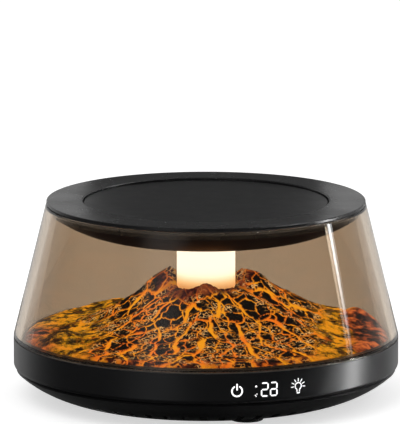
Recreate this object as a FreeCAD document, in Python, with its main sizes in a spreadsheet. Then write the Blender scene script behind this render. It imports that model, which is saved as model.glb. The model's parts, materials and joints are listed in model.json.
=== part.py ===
import FreeCAD, Part
import math
import os
import re
import Sketcher

# Electric mug warmer with a volcano landscape under a smoked cone-shaped shade.
# Millimetres, +Z up, origin on the table under the middle, signs towards -Y, inlet towards +Y.

SIZES = {
    # Base: tub with a smooth band, shallow cover below it, and four feet
    "base_radius": 70.0,
    "base_wall": 2.5,
    "band_round": 1.8,
    "deck_height": 22.0,
    "deck_thickness": 2.5,
    "band_height": 11.2,
    "cover_inset": 1.0,
    "cover_lift": 1.2,
    "cover_wall": 2.2,
    "cover_slope_width": 18.0,
    "cover_bulge": 1.3,
    "cover_rim_drop": 0.8,
    "spigot_height": 1.0,
    "spigot_thickness": 2.0,
    "slide_gap": 0.2,
    "vent_count": 56,
    "vent_width": 2.6,
    "vent_length": 7.0,
    "vent_margin": 1.8,
    "foot_radius": 6.0,
    "foot_height": 2.0,
    "foot_round": 0.5,
    "foot_gap": 0.1,
    "foot_count": 4,
    # Screws that close the base
    "base_screw_inset": 6.0,
    "base_screw_count": 4,
    "base_boss_radius": 3.5,
    "cover_boss_radius": 4.2,
    "boss_meeting_height": 6.0,
    "base_screw_radius": 1.3,
    "base_screw_length": 8.0,
    "base_head_radius": 2.6,
    "base_head_height": 1.8,
    "head_seat_depth": 3.2,
    "screw_gap": 0.3,
    "small_screw_gap": 0.15,
    "pilot_spare": 0.6,
    # Control board under the deck
    "board_length": 60.0,
    "board_gap": 1.8,
    "board_thickness": 1.6,
    "board_top": 8.6,
    "standoff_margin": 4.0,
    "standoff_radius": 2.5,
    "board_screw_radius": 1.0,
    "board_screw_length": 6.0,
    "board_head_radius": 2.0,
    "board_head_height": 1.4,
    "can_radius": 3.2,
    "can_height": 8.0,
    "can_place": 14.0,
    "can_spacing": 22.0,
    "block_place": 13.0,
    "choke_size": 9.0,
    "choke_height": 5.0,
    "chip_length": 8.0,
    "chip_width": 5.0,
    "chip_height": 1.4,
    "plug_place": 12.5,
    "plug_length": 8.0,
    "plug_width": 5.0,
    "plug_height": 4.0,
    # Signs behind the band
    "sign_drop": 6.1,
    "sign_skin": 1.0,
    "sign_frame": 0.5,
    "sign_end": 1.0,
    "sign_side_gap": 0.7,
    "sign_guide_depth": 4.5,
    "sign_spacing": 11.4,
    "digit_width": 7.6,
    "digit_tall": 5.8,
    "digit_depth": 2.9,
    "display_board_thickness": 1.2,
    "spring_radius": 2.6,
    "spring_wire": 0.5,
    "sign_light_size": 1.6,
    "sign_light_height": 0.8,
    # Power inlet at the rear
    "inlet_width": 9.0,
    "inlet_depth": 11.0,
    "inlet_tall": 7.4,
    "inlet_bore_radius": 2.85,
    "inlet_bore_depth": 9.0,
    "inlet_pin_radius": 1.05,
    "inlet_gap": 0.05,
    "inlet_opening_gap": 0.75,
    # Leads
    "lead_radius": 0.7,
    "lead_gap": 0.2,
    "lead_margin": 0.7,
    "lead_bend": 1.4,
    "lead_end": 0.3,
    "ribbon_width": 8.0,
    "ribbon_thickness": 0.8,
    "ribbon_bend": 2.0,
    "ribbon_margin": 1.0,
    # Shade and its gasket
    "shade_wall": 3.0,
    "shade_top_radius": 58.1,
    "shade_lip_step": 0.4,
    "gasket_thickness": 0.5,
    "gasket_inset": 0.3,
    "gasket_lip": 0.4,
    "gasket_lip_height": 0.8,
    "gasket_clearance": 0.1,
    # Volcano
    "terrain_gap": 4.0,
    "terrain_wall": 2.0,
    "plain_rise": 2.3,
    "crater_rise": 21.8,
    "crater_radius": 13.5,
    "crater_drop": 3.0,
    "slope_power": 1.95,
    "slope_lean": 4.0,
    "spur_size": 2.2,
    "spur_count": 7,
    "gully_size": 1.2,
    "gully_count": 12,
    "gully_lead": 57.3,
    "crest_turn": 18.4,
    "crest_sway": 1.3,
    "crest_lean": 0.4,
    "crest_notch": 1.4,
    "mound_height": 4.0,
    "mound_spread": 5.0,
    "mound_inset": 9.5,
    "terrain_sides": 42,
    "terrain_rings": 12,
    # Ring board with lamps under the volcano
    "ring_inner_radius": 16.0,
    "ring_outer_radius": 38.0,
    "ring_board_thickness": 1.6,
    "lamp_circle": 30.0,
    "lamp_count": 16,
    "lamp_size": 3.0,
    "lamp_height": 1.0,
    "lead_hole_radius": 2.0,
    "lead_hole_place": 20.0,
    # Glowing column and the threaded tube inside it
    "column_radius": 10.6,
    "column_wall": 1.6,
    "throat_gap": 0.3,
    "tube_radius": 5.0,
    "tube_wall": 1.4,
    "tube_hole_gap": 0.2,
    "tube_end": 0.7,
    "washer_radius": 9.0,
    "washer_thickness": 0.8,
    "lower_nut_height": 4.0,
    "upper_nut_height": 3.0,
    "nut_across_flats": 14.0,
    "column_board_thickness": 1.2,
    "column_lamp_count": 6,
    "column_lamp_size": 1.4,
    "column_lamp_height": 0.8,
    # Top: flanged ring, bulged underside and sunk heating plate
    "total_height": 72.1,
    "flange_thickness": 1.0,
    "flange_inset": 0.2,
    "flange_round": 0.35,
    "skirt_depth": 3.7,
    "skirt_wall": 2.0,
    "skirt_gap": 0.3,
    "top_wall": 1.6,
    "rim_width": 13.5,
    "seat_wall": 1.8,
    "seat_depth": 0.8,
    "seat_round": 0.4,
    "ledge_width": 2.2,
    "ledge_step": 1.5,
    "ledge_thickness": 1.8,
    "screw_ledge_width": 6.9,
    "dish_depth": 7.9,
    "dish_flat_radius": 32.0,
    "dish_wall": 2.0,
    "dish_spigot": 1.6,
    "dish_spigot_wall": 1.6,
    "top_screw_count": 4,
    "top_boss_radius": 2.8,
    "top_screw_radius": 1.1,
    "top_screw_length": 4.0,
    "top_head_radius": 2.2,
    "top_head_height": 1.4,
    # Heater stack under the plate
    "plate_thickness": 1.5,
    "plate_gap": 0.3,
    "plate_round": 0.3,
    "plate_gasket_thickness": 0.4,
    "element_thickness": 0.8,
    "pad_thickness": 1.6,
    "stack_gap": 1.5,
    "bracket_thickness": 0.8,
    "bracket_inset": 4.0,
    "bracket_hole_radius": 8.5,
    "stud_inset": 6.0,
    "stud_count": 3,
    "stud_radius": 2.4,
    "stud_gap": 0.3,
    "bracket_screw_length": 2.9,
    "sensor_radius": 2.2,
    "sensor_margin": 0.9,
    "sensor_gap": 0.2,
    "fuse_radius": 1.5,
    "fuse_length": 9.0,
    "fuse_place": 18.0,
    "fuse_tail_radius": 0.4,
    "fuse_tail_length": 4.5,
    "element_lead_gap": 0.8,
}

document = FreeCAD.newDocument("MugWarmer")
sheet = document.addObject("Spreadsheet::Sheet", "Sizes")
for row, (alias, number) in enumerate(SIZES.items(), start=1):
    sheet.set(f"A{row}", alias)
    sheet.set(f"B{row}", str(number))
    sheet.setAlias(f"B{row}", alias)
document.recompute()

WORD = re.compile(r"[a-z][a-z_]*")
FULL_TURN = 360
QUARTER_TURN = 90
SIXTH_TURN = 60
EIGHTH_TURN = 45
SUB_PARTS = []

# Foothills as (angle from +X, share of the full height), and how the shell's rings are spread
MOUNDS = [(186, 0.9), (-10, 1.2), (108, 0.4)]
OUTWARD_CROWDING = 1.15
SHELL_FOOT_SHARE = 8

# Screw heads are domed over this share of their height
HEAD_DOME = "/ 3"

# Heights and radii that several pieces share, worked out from the sheet
WALL_INSIDE = "(base_radius - base_wall)"
COVER_FLAT = "(base_radius - cover_slope_width)"
FOOT_CIRCLE = f"({COVER_FLAT} - foot_radius)"
BASE_SCREW_CIRCLE = f"({FOOT_CIRCLE} - base_screw_inset)"
BASE_SCREW_PLACE = f"({BASE_SCREW_CIRCLE} * cos({EIGHTH_TURN}))"
BOARD_EDGE = f"({BASE_SCREW_PLACE} - base_boss_radius - board_gap)"
STANDOFF_X = "(board_length / 2 - standoff_margin)"
STANDOFF_Y = f"({BOARD_EDGE} - standoff_margin)"
DECK_LOW = "(deck_height - deck_thickness)"
CREASE = "(deck_height - band_height)"
SHADE_FOOT = "(deck_height + gasket_thickness)"
FLANGE_LOW = "(total_height - flange_thickness)"
SHADE_TOP = f"({FLANGE_LOW} - gasket_thickness)"
SKIRT_RADIUS = "(shade_top_radius - shade_wall + shade_lip_step - skirt_gap)"
SKIRT_INSIDE = f"({SKIRT_RADIUS} - skirt_wall)"
SKIRT_LOW = f"({FLANGE_LOW} - skirt_depth)"
DISH_LOW = f"({SKIRT_LOW} - dish_depth)"
DISH_FLOOR = f"({DISH_LOW} + dish_wall)"
SEAT_RADIUS = "(shade_top_radius - rim_width)"
LEDGE_EDGE = f"({SEAT_RADIUS} - ledge_width)"
LEDGE_INNER = f"({LEDGE_EDGE} - screw_ledge_width)"
TOP_SCREW_CIRCLE = f"({LEDGE_EDGE} - screw_ledge_width / 2)"
STACK_RADIUS = f"({LEDGE_INNER} - stack_gap)"
BRACKET_RADIUS = f"({STACK_RADIUS} - bracket_inset)"
STUD_CIRCLE = f"({BRACKET_RADIUS} - stud_inset)"
SENSOR_PLACE = "(bracket_hole_radius + sensor_radius + sensor_gap + sensor_margin)"
PLATE_TOP = "(total_height - seat_depth)"
PLATE_LOW = f"({PLATE_TOP} - plate_thickness)"
LEDGE_TOP = f"({PLATE_LOW} - plate_gasket_thickness)"
SCREW_LEDGE = f"({LEDGE_TOP} - ledge_step)"
SCREW_LEDGE_LOW = f"({SCREW_LEDGE} - ledge_thickness)"
ELEMENT_LOW = f"({PLATE_LOW} - element_thickness)"
PAD_LOW = f"({ELEMENT_LOW} - pad_thickness)"
BRACKET_LOW = f"({PAD_LOW} - bracket_thickness)"
BOARD_LOW = "(board_top - board_thickness)"
NUT_LOW = f"({DECK_LOW} - washer_thickness - lower_nut_height)"
NUT_TOP = f"({DISH_FLOOR} + washer_thickness + upper_nut_height)"
HEAD_SEAT = "(cover_lift + head_seat_depth)"
TUBE_HOLE = "(tube_radius + tube_hole_gap)"
TERRAIN_RADIUS = "(base_radius - terrain_gap)"
SIGN_HEIGHT = "(deck_height - sign_drop)"
SIGN_TALL = "(digit_tall + 2 * sign_frame)"
SIGN_LOW = f"({SIGN_HEIGHT} - {SIGN_TALL} / 2)"
SIGN_HALF_WIDTH = "(sign_spacing + spring_radius + slide_gap + sign_end)"
SIGN_GUIDE_BACK = "(base_radius - sign_guide_depth)"
SIGN_BOARD_BACK = f"({SIGN_GUIDE_BACK} - display_board_thickness)"
INLET_FACE = f"(sqrt({WALL_INSIDE}^2 - (inlet_width / 2)^2) - inlet_gap)"
INLET_LOW = f"({DECK_LOW} - inlet_tall)"
INLET_MIDDLE = f"({DECK_LOW} - inlet_tall / 2)"


def bound(text):
    """Write an expression on the sheet's aliases the way an object reads them."""
    def named(match):
        word = match.group()
        return f"Sizes.{word}" if word in SIZES else word
    return WORD.sub(named, str(text))


def size(text):
    """Give the present value of an expression on the sheet's aliases."""
    return float(sheet.evalExpression(bound(text)))


def new_body(label):
    """Start a sub-part of its own, which may hold a group of like solids."""
    body = document.addObject("PartDesign::Body", label)
    body.Label = label
    body.AllowCompound = True
    SUB_PARTS.append(body)
    return body


def origin_feature(body, role):
    return next(item for item in body.Origin.OriginFeatures if item.Role == role)


def new_sketch(body, name, plane, shift=("0", "0", "0")):
    """Attach a sketch to one of the body's own planes, moved along the sketch's axes."""
    sketch = body.newObject("Sketcher::SketchObject", f"{body.Name}_{name}")
    sketch.AttachmentSupport = [(origin_feature(body, plane), "")]
    sketch.MapMode = "FlatFace"
    for letter, amount in zip("xyz", shift):
        if amount != "0":
            sketch.setExpression(f"AttachmentOffset.Base.{letter}", bound(amount))
    return sketch


def fix(sketch, geometry, place, x, y):
    """Bind one point of a sketch to its two distances from the sketch's origin."""
    for kind, text in (("DistanceX", x), ("DistanceY", y)):
        index = sketch.addConstraint(Sketcher.Constraint(kind, -1, 1, geometry, place, size(text)))
        sketch.setExpression(f"Constraints[{index}]", bound(text))


def draw_outline(sketch, corners):
    """Draw a closed outline. A corner is (x, y), or (x, y, x, y) with a point on the arc to it."""
    here = [FreeCAD.Vector(size(corner[0]), size(corner[1]), 0) for corner in corners]
    starts = []
    ends = []
    for index, corner in enumerate(corners):
        begin = here[index - 1]
        if len(corner) == 4:
            middle = FreeCAD.Vector(size(corner[2]), size(corner[3]), 0)
            forward = (middle - begin).cross(here[index] - middle).z > 0
            first, last = (begin, here[index]) if forward else (here[index], begin)
            edge = sketch.addGeometry(Part.Arc(first, middle, last), False)
            starts.append((edge, 1 if forward else 2))
            ends.append((edge, 2 if forward else 1))
        else:
            edge = sketch.addGeometry(Part.LineSegment(begin, here[index]), False)
            starts.append((edge, 1))
            ends.append((edge, 2))
    for index, corner in enumerate(corners):
        following = (index + 1) % len(corners)
        sketch.addConstraint(Sketcher.Constraint("Coincident", *ends[index], *starts[following]))
        fix(sketch, *ends[index], corner[0], corner[1])
        if len(corner) == 4:
            middle = FreeCAD.Vector(size(corner[2]), size(corner[3]), 0)
            point = sketch.addGeometry(Part.Point(middle), True)
            sketch.addConstraint(Sketcher.Constraint("PointOnObject", point, 1, ends[index][0]))
            fix(sketch, point, 1, corner[2], corner[3])


def draw_box(sketch, low_x, high_x, low_y, high_y):
    draw_outline(sketch, [(low_x, low_y), (high_x, low_y), (high_x, high_y), (low_x, high_y)])


def draw_circle(sketch, x, y, radius):
    centre = FreeCAD.Vector(size(x), size(y), 0)
    normal = FreeCAD.Vector(0, 0, 1)
    circle = sketch.addGeometry(Part.Circle(centre, normal, size(radius)), False)
    fix(sketch, circle, 3, x, y)
    index = sketch.addConstraint(Sketcher.Constraint("Radius", circle, size(radius)))
    sketch.setExpression(f"Constraints[{index}]", bound(radius))


def turn(body, name, corners, out="0", depth="0"):
    """Revolve an outline of radii and heights about an upright axis that may stand off centre."""
    sketch = new_sketch(body, f"{name}_profile", "XZ_Plane", (out, "0", depth))
    draw_outline(sketch, corners)
    feature = body.newObject("PartDesign::Revolution", f"{body.Name}_{name}")
    feature.Profile = sketch
    feature.ReferenceAxis = (sketch, ["V_Axis"])
    feature.Angle = FULL_TURN
    return feature


def groove(body, name, corners, angle):
    """Cut a part turn of an outline, centred on the side of the signs."""
    sketch = new_sketch(body, f"{name}_profile", "YZ_Plane")
    draw_outline(sketch, corners)
    feature = body.newObject("PartDesign::Groove", f"{body.Name}_{name}")
    feature.Profile = sketch
    feature.ReferenceAxis = (sketch, ["V_Axis"])
    feature.Midplane = True
    feature.setExpression("Angle", bound(angle))
    return feature


def raise_solid(body, name, sketch, length, kind="Pad", other_way=False):
    """Pad or pocket a sketch by a bound length."""
    feature = body.newObject(f"PartDesign::{kind}", f"{body.Name}_{name}")
    feature.Profile = sketch
    feature.setExpression("Length", bound(length))
    feature.Reversed = other_way
    return feature


def pad_circles(body, name, low, high, circles):
    """Raise round solids from one height to another; circles are (x, y, radius)."""
    sketch = new_sketch(body, f"{name}_circles", "XY_Plane", ("0", "0", low))
    for circle in circles:
        draw_circle(sketch, *circle)
    return raise_solid(body, name, sketch, f"{high} - {low}")


def drill(body, name, low, high, circles):
    """Cut round holes from one height up to another."""
    sketch = new_sketch(body, f"{name}_circles", "XY_Plane", ("0", "0", low))
    for circle in circles:
        draw_circle(sketch, *circle)
    return raise_solid(body, name, sketch, f"{high} - {low}", "Pocket", True)


def repeat(body, feature, count):
    """Repeat the features round the upright axis."""
    pattern = body.newObject("PartDesign::PolarPattern", f"{feature.Name}_ring")
    pattern.Originals = [feature]
    pattern.Axis = (origin_feature(body, "Z_Axis"), [""])
    pattern.Angle = FULL_TURN
    pattern.setExpression("Occurrences", bound(count))
    body.Tip = pattern
    return pattern


def round_edge(body, name, feature, radius, height, amount):
    """Round the circular edges of one radius and height about the middle axis."""
    document.recompute()
    names = []
    for index, edge in enumerate(feature.Shape.Edges, start=1):
        if not isinstance(edge.Curve, Part.Circle):
            continue
        same_radius = abs(edge.Curve.Radius - size(radius)) < 1e-4
        same_height = abs(edge.Curve.Center.z - size(height)) < 1e-4
        if same_radius and same_height:
            names.append(f"Edge{index}")
    fillet = body.newObject("PartDesign::Fillet", f"{body.Name}_{name}")
    fillet.Base = (feature, names)
    fillet.setExpression("Radius", bound(amount))
    return fillet


def swing(body, degrees):
    """Turn a whole sub-part about the upright axis."""
    body.Placement = FreeCAD.Placement(
        FreeCAD.Vector(), FreeCAD.Rotation(FreeCAD.Vector(0, 0, 1), degrees))


def rising_arc(x0, y0, x1, y1):
    """Give a corner at the end of an arc that leaves its start level, with the arc's middle."""
    run = f"({x1} - {x0})"
    rise = f"({y1} - {y0})"
    chord = f"sqrt({run}^2 + {rise}^2)"
    return (x1, y1, f"{x0} + {chord} / 2", f"{y0} + {chord} * ({chord} - {run}) / (2 * {rise})")


def falling_arc(x0, y0, x1, y1):
    """Give a corner at the end of an arc that arrives level, with the arc's middle."""
    run = f"({x0} - {x1})"
    rise = f"({y0} - {y1})"
    chord = f"sqrt({run}^2 + {rise}^2)"
    return (x1, y1, f"{x1} + {chord} / 2", f"{y1} + {chord} * ({chord} - {run}) / (2 * {rise})")


def round_corner(x, y, centre_x, centre_y, radius, side_x, side_y):
    """Give a corner at the end of a quarter round, bulging to the stated sides of its centre."""
    reach = f"{radius} * sqrt(0.5)"
    return (x, y, f"{centre_x} + {side_x} * {reach}", f"{centre_y} + {side_y} * {reach}")


def four_corners(x, y, radius):
    """Give the same circle in each quarter of the plan."""
    return [(f"{sx} * {x}", f"{sy} * {y}", radius) for sx in (1, -1) for sy in (1, -1)]


def plain_shape(label, shape):
    """Keep a shape made by the functions below as a sub-part."""
    feature = document.addObject("Part::Feature", label)
    feature.Label = label
    feature.Shape = shape
    feature.Placement = FreeCAD.Placement()
    SUB_PARTS.append(feature)
    return feature


def make_base_housing():
    """Tub with the smooth band, the deck, the bosses below it and the inlet's opening."""
    body = new_body("base_housing")
    low_round = f"({CREASE} + band_round)"
    foot = "(base_radius - band_round)"
    turn(body, "shell", [
        (TUBE_HOLE, "deck_height"),
        (TUBE_HOLE, DECK_LOW),
        (WALL_INSIDE, DECK_LOW),
        (WALL_INSIDE, CREASE),
        (foot, CREASE),
        round_corner("base_radius", low_round, foot, low_round, "band_round", 1, -1),
        ("base_radius", "deck_height"),
    ])
    place = BASE_SCREW_PLACE
    boss = pad_circles(body, "boss", "boss_meeting_height", DECK_LOW,
                       [(place, place, "base_boss_radius")])
    repeat(body, boss, "base_screw_count")
    pilot = drill(body, "pilot", "boss_meeting_height",
                  f"({HEAD_SEAT} + base_screw_length + pilot_spare)",
                  [(place, place, "base_screw_radius")])
    repeat(body, pilot, "base_screw_count")
    pad_circles(body, "standoffs", "board_top", DECK_LOW,
                four_corners(STANDOFF_X, STANDOFF_Y, "standoff_radius"))
    drill(body, "standoff_pilots", "board_top",
          f"({BOARD_LOW} + board_screw_length + pilot_spare)",
          four_corners(STANDOFF_X, STANDOFF_Y, "board_screw_radius"))
    drill(body, "lead_hole", DECK_LOW, "deck_height",
          [("lead_hole_place", "0", "lead_hole_radius")])
    groove(body, "sign_pocket", [
        (f"-{WALL_INSIDE} + base_wall", SIGN_LOW),
        ("-(base_radius - sign_skin)", SIGN_LOW),
        ("-(base_radius - sign_skin)", f"({SIGN_LOW} + {SIGN_TALL})"),
        (f"-{WALL_INSIDE} + base_wall", f"({SIGN_LOW} + {SIGN_TALL})"),
    ], f"2 * atan(({SIGN_HALF_WIDTH} + sign_side_gap) / {SIGN_GUIDE_BACK})")
    opening = new_sketch(body, "inlet_sketch", "XZ_Plane", ("0", "0", f"-{INLET_FACE} + base_wall"))
    draw_circle(opening, "0", INLET_MIDDLE, "(inlet_bore_radius + inlet_opening_gap)")
    raise_solid(body, "inlet_opening", opening, "base_radius", "Pocket")


def make_bottom_cover():
    """Shallow dish with bosses, foot seats and a ring of vent slots."""
    body = new_body("bottom_cover")
    rim = "(base_radius - cover_inset)"
    rim_low = f"({CREASE} - cover_rim_drop)"
    land = "(base_radius - band_round)"
    spigot = f"({WALL_INSIDE} - slide_gap)"
    inside = f"({spigot} - spigot_thickness)"
    floor = "(cover_lift + cover_wall)"
    inner_rim = f"({CREASE} - cover_rim_drop / 2)"
    turn(body, "shell", [
        ("0", floor),
        ("0", "cover_lift"),
        (COVER_FLAT, "cover_lift"),
        (rim, rim_low, f"({COVER_FLAT} + {rim}) / 2",
         f"(cover_lift + {rim_low}) / 2 - cover_bulge"),
        (land, CREASE),
        (spigot, CREASE),
        (spigot, f"({CREASE} + spigot_height)"),
        (inside, f"({CREASE} + spigot_height)"),
        (inside, inner_rim),
        (COVER_FLAT, floor, f"({COVER_FLAT} + {inside}) / 2",
         f"({floor} + {inner_rim}) / 2 - cover_bulge"),
    ])
    slot = new_sketch(body, "slot_outline", "XY_Plane")
    start = f"({COVER_FLAT} + vent_margin)"
    draw_box(slot, start, f"({start} + vent_length)", "-vent_width / 2", "vent_width / 2")
    slot_cut = raise_solid(body, "slot", slot, CREASE, "Pocket", True)
    repeat(body, slot_cut, "vent_count")
    place = BASE_SCREW_PLACE
    boss = pad_circles(body, "boss", "cover_lift", "boss_meeting_height",
                       [(place, place, "cover_boss_radius")])
    repeat(body, boss, "base_screw_count")
    hole = drill(body, "screw_hole", "cover_lift", "boss_meeting_height",
                 [(place, place, "(base_screw_radius + screw_gap)")])
    repeat(body, hole, "base_screw_count")
    recess = drill(body, "head_recess", "cover_lift", HEAD_SEAT,
                   [(place, place, "(base_head_radius + screw_gap)")])
    repeat(body, recess, "base_screw_count")
    seat = drill(body, "foot_seat", "cover_lift", "foot_height",
                 [(FOOT_CIRCLE, "0", "(foot_radius + foot_gap)")])
    repeat(body, seat, "foot_count")


def make_rubber_feet():
    """Four round feet that sit in the cover's seats and carry the object."""
    body = new_body("rubber_feet")
    side = "(foot_radius - foot_round)"
    foot = turn(body, "foot", [
        ("0", "foot_height"),
        ("0", "0"),
        (side, "0"),
        round_corner("foot_radius", "foot_round", side, "foot_round", "foot_round", 1, -1),
        ("foot_radius", "foot_height"),
    ], out=FOOT_CIRCLE)
    repeat(body, foot, "foot_count")


def screw_outline(head_radius, head_height, shank_radius, length, seat):
    """Half section of a pan head screw whose head hangs below its seat."""
    low = f"({seat} - {head_height})"
    dome = f"({head_height} {HEAD_DOME})"
    return [
        ("0", low),
        (f"{head_radius} - {dome}", low),
        (head_radius, f"{low} + {dome}"),
        (head_radius, seat),
        (shank_radius, seat),
        (shank_radius, f"{seat} + {length}"),
        ("0", f"{seat} + {length}"),
    ]


def make_base_screws():
    body = new_body("base_screws")
    screw = turn(body, "screw", screw_outline(
        "base_head_radius", "base_head_height", "base_screw_radius", "base_screw_length",
        HEAD_SEAT), out=BASE_SCREW_CIRCLE)
    repeat(body, screw, "base_screw_count")
    swing(body, EIGHTH_TURN)


def make_control_board():
    """Board under the deck, held to the four standoffs."""
    body = new_body("control_board")
    outline = new_sketch(body, "outline", "XY_Plane", ("0", "0", BOARD_LOW))
    draw_box(outline, "-board_length / 2", "board_length / 2",
             f"-{BOARD_EDGE}", BOARD_EDGE)
    raise_solid(body, "sheet", outline, "board_thickness")
    drill(body, "holes", BOARD_LOW, "board_top",
          four_corners(STANDOFF_X, STANDOFF_Y, "(board_screw_radius + screw_gap)"))


def make_board_screws():
    body = new_body("board_screws")
    outline = screw_outline("board_head_radius", "board_head_height", "board_screw_radius",
                            "board_screw_length", BOARD_LOW)
    for number, (x, y, _) in enumerate(four_corners(STANDOFF_X, STANDOFF_Y, "")):
        turn(body, f"screw{number}", outline, out=x, depth=f"-1 * {y}")


def make_board_components():
    """Capacitors, choke, chip and plug block, each standing on the board."""
    body = new_body("board_components")
    cans = [("-can_place", "can_spacing / 2", "can_radius"),
            ("-can_place", "-can_spacing / 2", "can_radius")]
    pad_circles(body, "capacitors", "board_top", "(board_top + can_height)", cans)
    blocks = {
        "choke": ("block_place", "can_spacing / 2", "choke_size", "choke_size", "choke_height"),
        "chip": ("block_place", "-can_spacing / 2", "chip_length", "chip_width", "chip_height"),
        "heater_plug": ("0", "-plug_place", "plug_length", "plug_width", "plug_height"),
    }
    for name, (x, y, long, wide, tall) in blocks.items():
        outline = new_sketch(body, f"{name}_outline", "XY_Plane", ("0", "0", "board_top"))
        draw_box(outline, f"{x} - {long} / 2", f"{x} + {long} / 2",
                 f"{y} - {wide} / 2", f"{y} + {wide} / 2")
        raise_solid(body, name, outline, tall)


def make_display():
    """Light guide, digit module, board, springs and lamps behind the band's thin skin."""
    guide = new_body("display_light_guide")
    plan = new_sketch(guide, "plan", "XY_Plane", ("0", "0", SIGN_LOW))
    front = "(base_radius - sign_skin)"
    side_y = f"-sqrt({front}^2 - {SIGN_HALF_WIDTH}^2)"
    draw_outline(plan, [
        (f"-{SIGN_HALF_WIDTH}", f"-{SIGN_GUIDE_BACK}"),
        (f"-{SIGN_HALF_WIDTH}", side_y),
        (SIGN_HALF_WIDTH, side_y, "0", f"-{front}"),
        (SIGN_HALF_WIDTH, f"-{SIGN_GUIDE_BACK}"),
    ])
    raise_solid(guide, "block", plan, SIGN_TALL)
    openings = new_sketch(guide, "openings", "XZ_Plane", ("0", "0", SIGN_GUIDE_BACK))
    draw_box(openings, "-digit_width / 2 - slide_gap", "digit_width / 2 + slide_gap",
             f"{SIGN_HEIGHT} - digit_tall / 2 - slide_gap",
             f"{SIGN_HEIGHT} + digit_tall / 2 + slide_gap")
    for side in ("-sign_spacing", "sign_spacing"):
        draw_circle(openings, side, SIGN_HEIGHT, "(spring_radius + slide_gap)")
    raise_solid(guide, "windows", openings, "sign_guide_depth", "Pocket", True)

    board = new_body("display_board")
    outline = new_sketch(board, "outline", "XZ_Plane", ("0", "0", SIGN_BOARD_BACK))
    draw_box(outline, f"-{SIGN_HALF_WIDTH}", SIGN_HALF_WIDTH, SIGN_LOW, f"{SIGN_LOW} + {SIGN_TALL}")
    raise_solid(board, "sheet", outline, "display_board_thickness")

    digits = new_body("digit_module")
    face = new_sketch(digits, "face", "XZ_Plane", ("0", "0", SIGN_GUIDE_BACK))
    draw_box(face, "-digit_width / 2", "digit_width / 2",
             f"{SIGN_HEIGHT} - digit_tall / 2", f"{SIGN_HEIGHT} + digit_tall / 2")
    raise_solid(digits, "block", face, "digit_depth")

    springs = new_body("touch_springs")
    rings = new_sketch(springs, "rings", "XZ_Plane", ("0", "0", SIGN_GUIDE_BACK))
    lights = new_body("sign_lights")
    squares = new_sketch(lights, "squares", "XZ_Plane", ("0", "0", SIGN_GUIDE_BACK))
    for side in ("-sign_spacing", "sign_spacing"):
        draw_circle(rings, side, SIGN_HEIGHT, "spring_radius")
        draw_circle(rings, side, SIGN_HEIGHT, "(spring_radius - spring_wire)")
        draw_box(squares, f"{side} - sign_light_size / 2", f"{side} + sign_light_size / 2",
                 f"{SIGN_HEIGHT} - sign_light_size / 2", f"{SIGN_HEIGHT} + sign_light_size / 2")
    raise_solid(springs, "coils", rings,
                f"sqrt({front}^2 - (sign_spacing + spring_radius)^2) - {SIGN_GUIDE_BACK}")
    raise_solid(lights, "lamps", squares, "sign_light_height")


def make_power_jack():
    """Inlet block that hangs from the deck, with a round mouth and a middle pin."""
    body = new_body("power_jack")
    block = new_sketch(body, "block_outline", "XZ_Plane", ("0", "0", f"-{INLET_FACE}"))
    draw_box(block, "-inlet_width / 2", "inlet_width / 2", INLET_LOW, DECK_LOW)
    raise_solid(body, "block", block, "inlet_depth")
    mouth = new_sketch(body, "mouth_outline", "XZ_Plane", ("0", "0", f"-{INLET_FACE}"))
    draw_circle(mouth, "0", INLET_MIDDLE, "inlet_bore_radius")
    draw_circle(mouth, "0", INLET_MIDDLE, "inlet_pin_radius")
    raise_solid(body, "mouth", mouth, "inlet_bore_depth", "Pocket", True)


def bent_path(corners, bend):
    """Join corner points by straight runs and tangent arcs of one radius."""
    points = [FreeCAD.Vector(*corner) for corner in corners]
    edges = []
    here = points[0]
    for before, corner, after in zip(points, points[1:], points[2:]):
        towards = (corner - before).normalize()
        away = (after - corner).normalize()
        half = towards.getAngle(away) / 2
        reach = bend * math.tan(half)
        entry = corner - towards * reach
        leave = corner + away * reach
        inward = (away - towards).normalize()
        middle = corner + inward * (bend / math.cos(half) - bend)
        edges.append(Part.LineSegment(here, entry).toShape())
        edges.append(Part.Arc(entry, middle, leave).toShape())
        here = leave
    edges.append(Part.LineSegment(here, points[-1]).toShape())
    return Part.Wire(edges)


def lead_pair(label, corners, bend):
    """Two round leads side by side in X along one bent path of (y, z) corners."""
    leads = []
    for side in (-1, 1):
        x = side * size("lead_radius + lead_gap / 2")
        path = bent_path([(x + at_x, y, z) for at_x, y, z in corners], bend)
        start = path.Edges[0].firstVertex().Point
        direction = path.Edges[0].tangentAt(path.Edges[0].FirstParameter)
        circle = Part.makeCircle(size("lead_radius"), start, direction)
        leads.append(path.makePipeShell([Part.Wire([circle])], True, True))
    return plain_shape(label, Part.makeCompound(leads))


def make_leads():
    """Leads from the inlet, up the tube to the heater, and to the ring board."""
    bend = size("lead_bend")
    top = size("board_top")
    jack_back = size(f"{INLET_FACE} - inlet_depth")
    jack_level = size(INLET_MIDDLE)
    jack_end = size(f"{BOARD_EDGE} - lead_margin - lead_radius")
    lead_pair("jack_leads", [(0, jack_back, jack_level), (0, jack_end, jack_level),
                             (0, jack_end, top)], bend)
    plug_face = size("plug_width / 2 - plug_place")
    level = size("board_top + plug_height / 2")
    turn_level = size(f"{ELEMENT_LOW} - lead_bend - lead_end")
    end = size("bracket_hole_radius - lead_radius - element_lead_gap")
    lead_pair("heater_leads", [(0, plug_face, level), (0, 0, level), (0, 0, turn_level),
                               (0, end, turn_level), (0, end, size(ELEMENT_LOW))], bend)
    place = size("lead_hole_place")
    lead_pair("lava_light_leads", [(place, 0, top), (place, 0, size("deck_height"))], bend)


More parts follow.
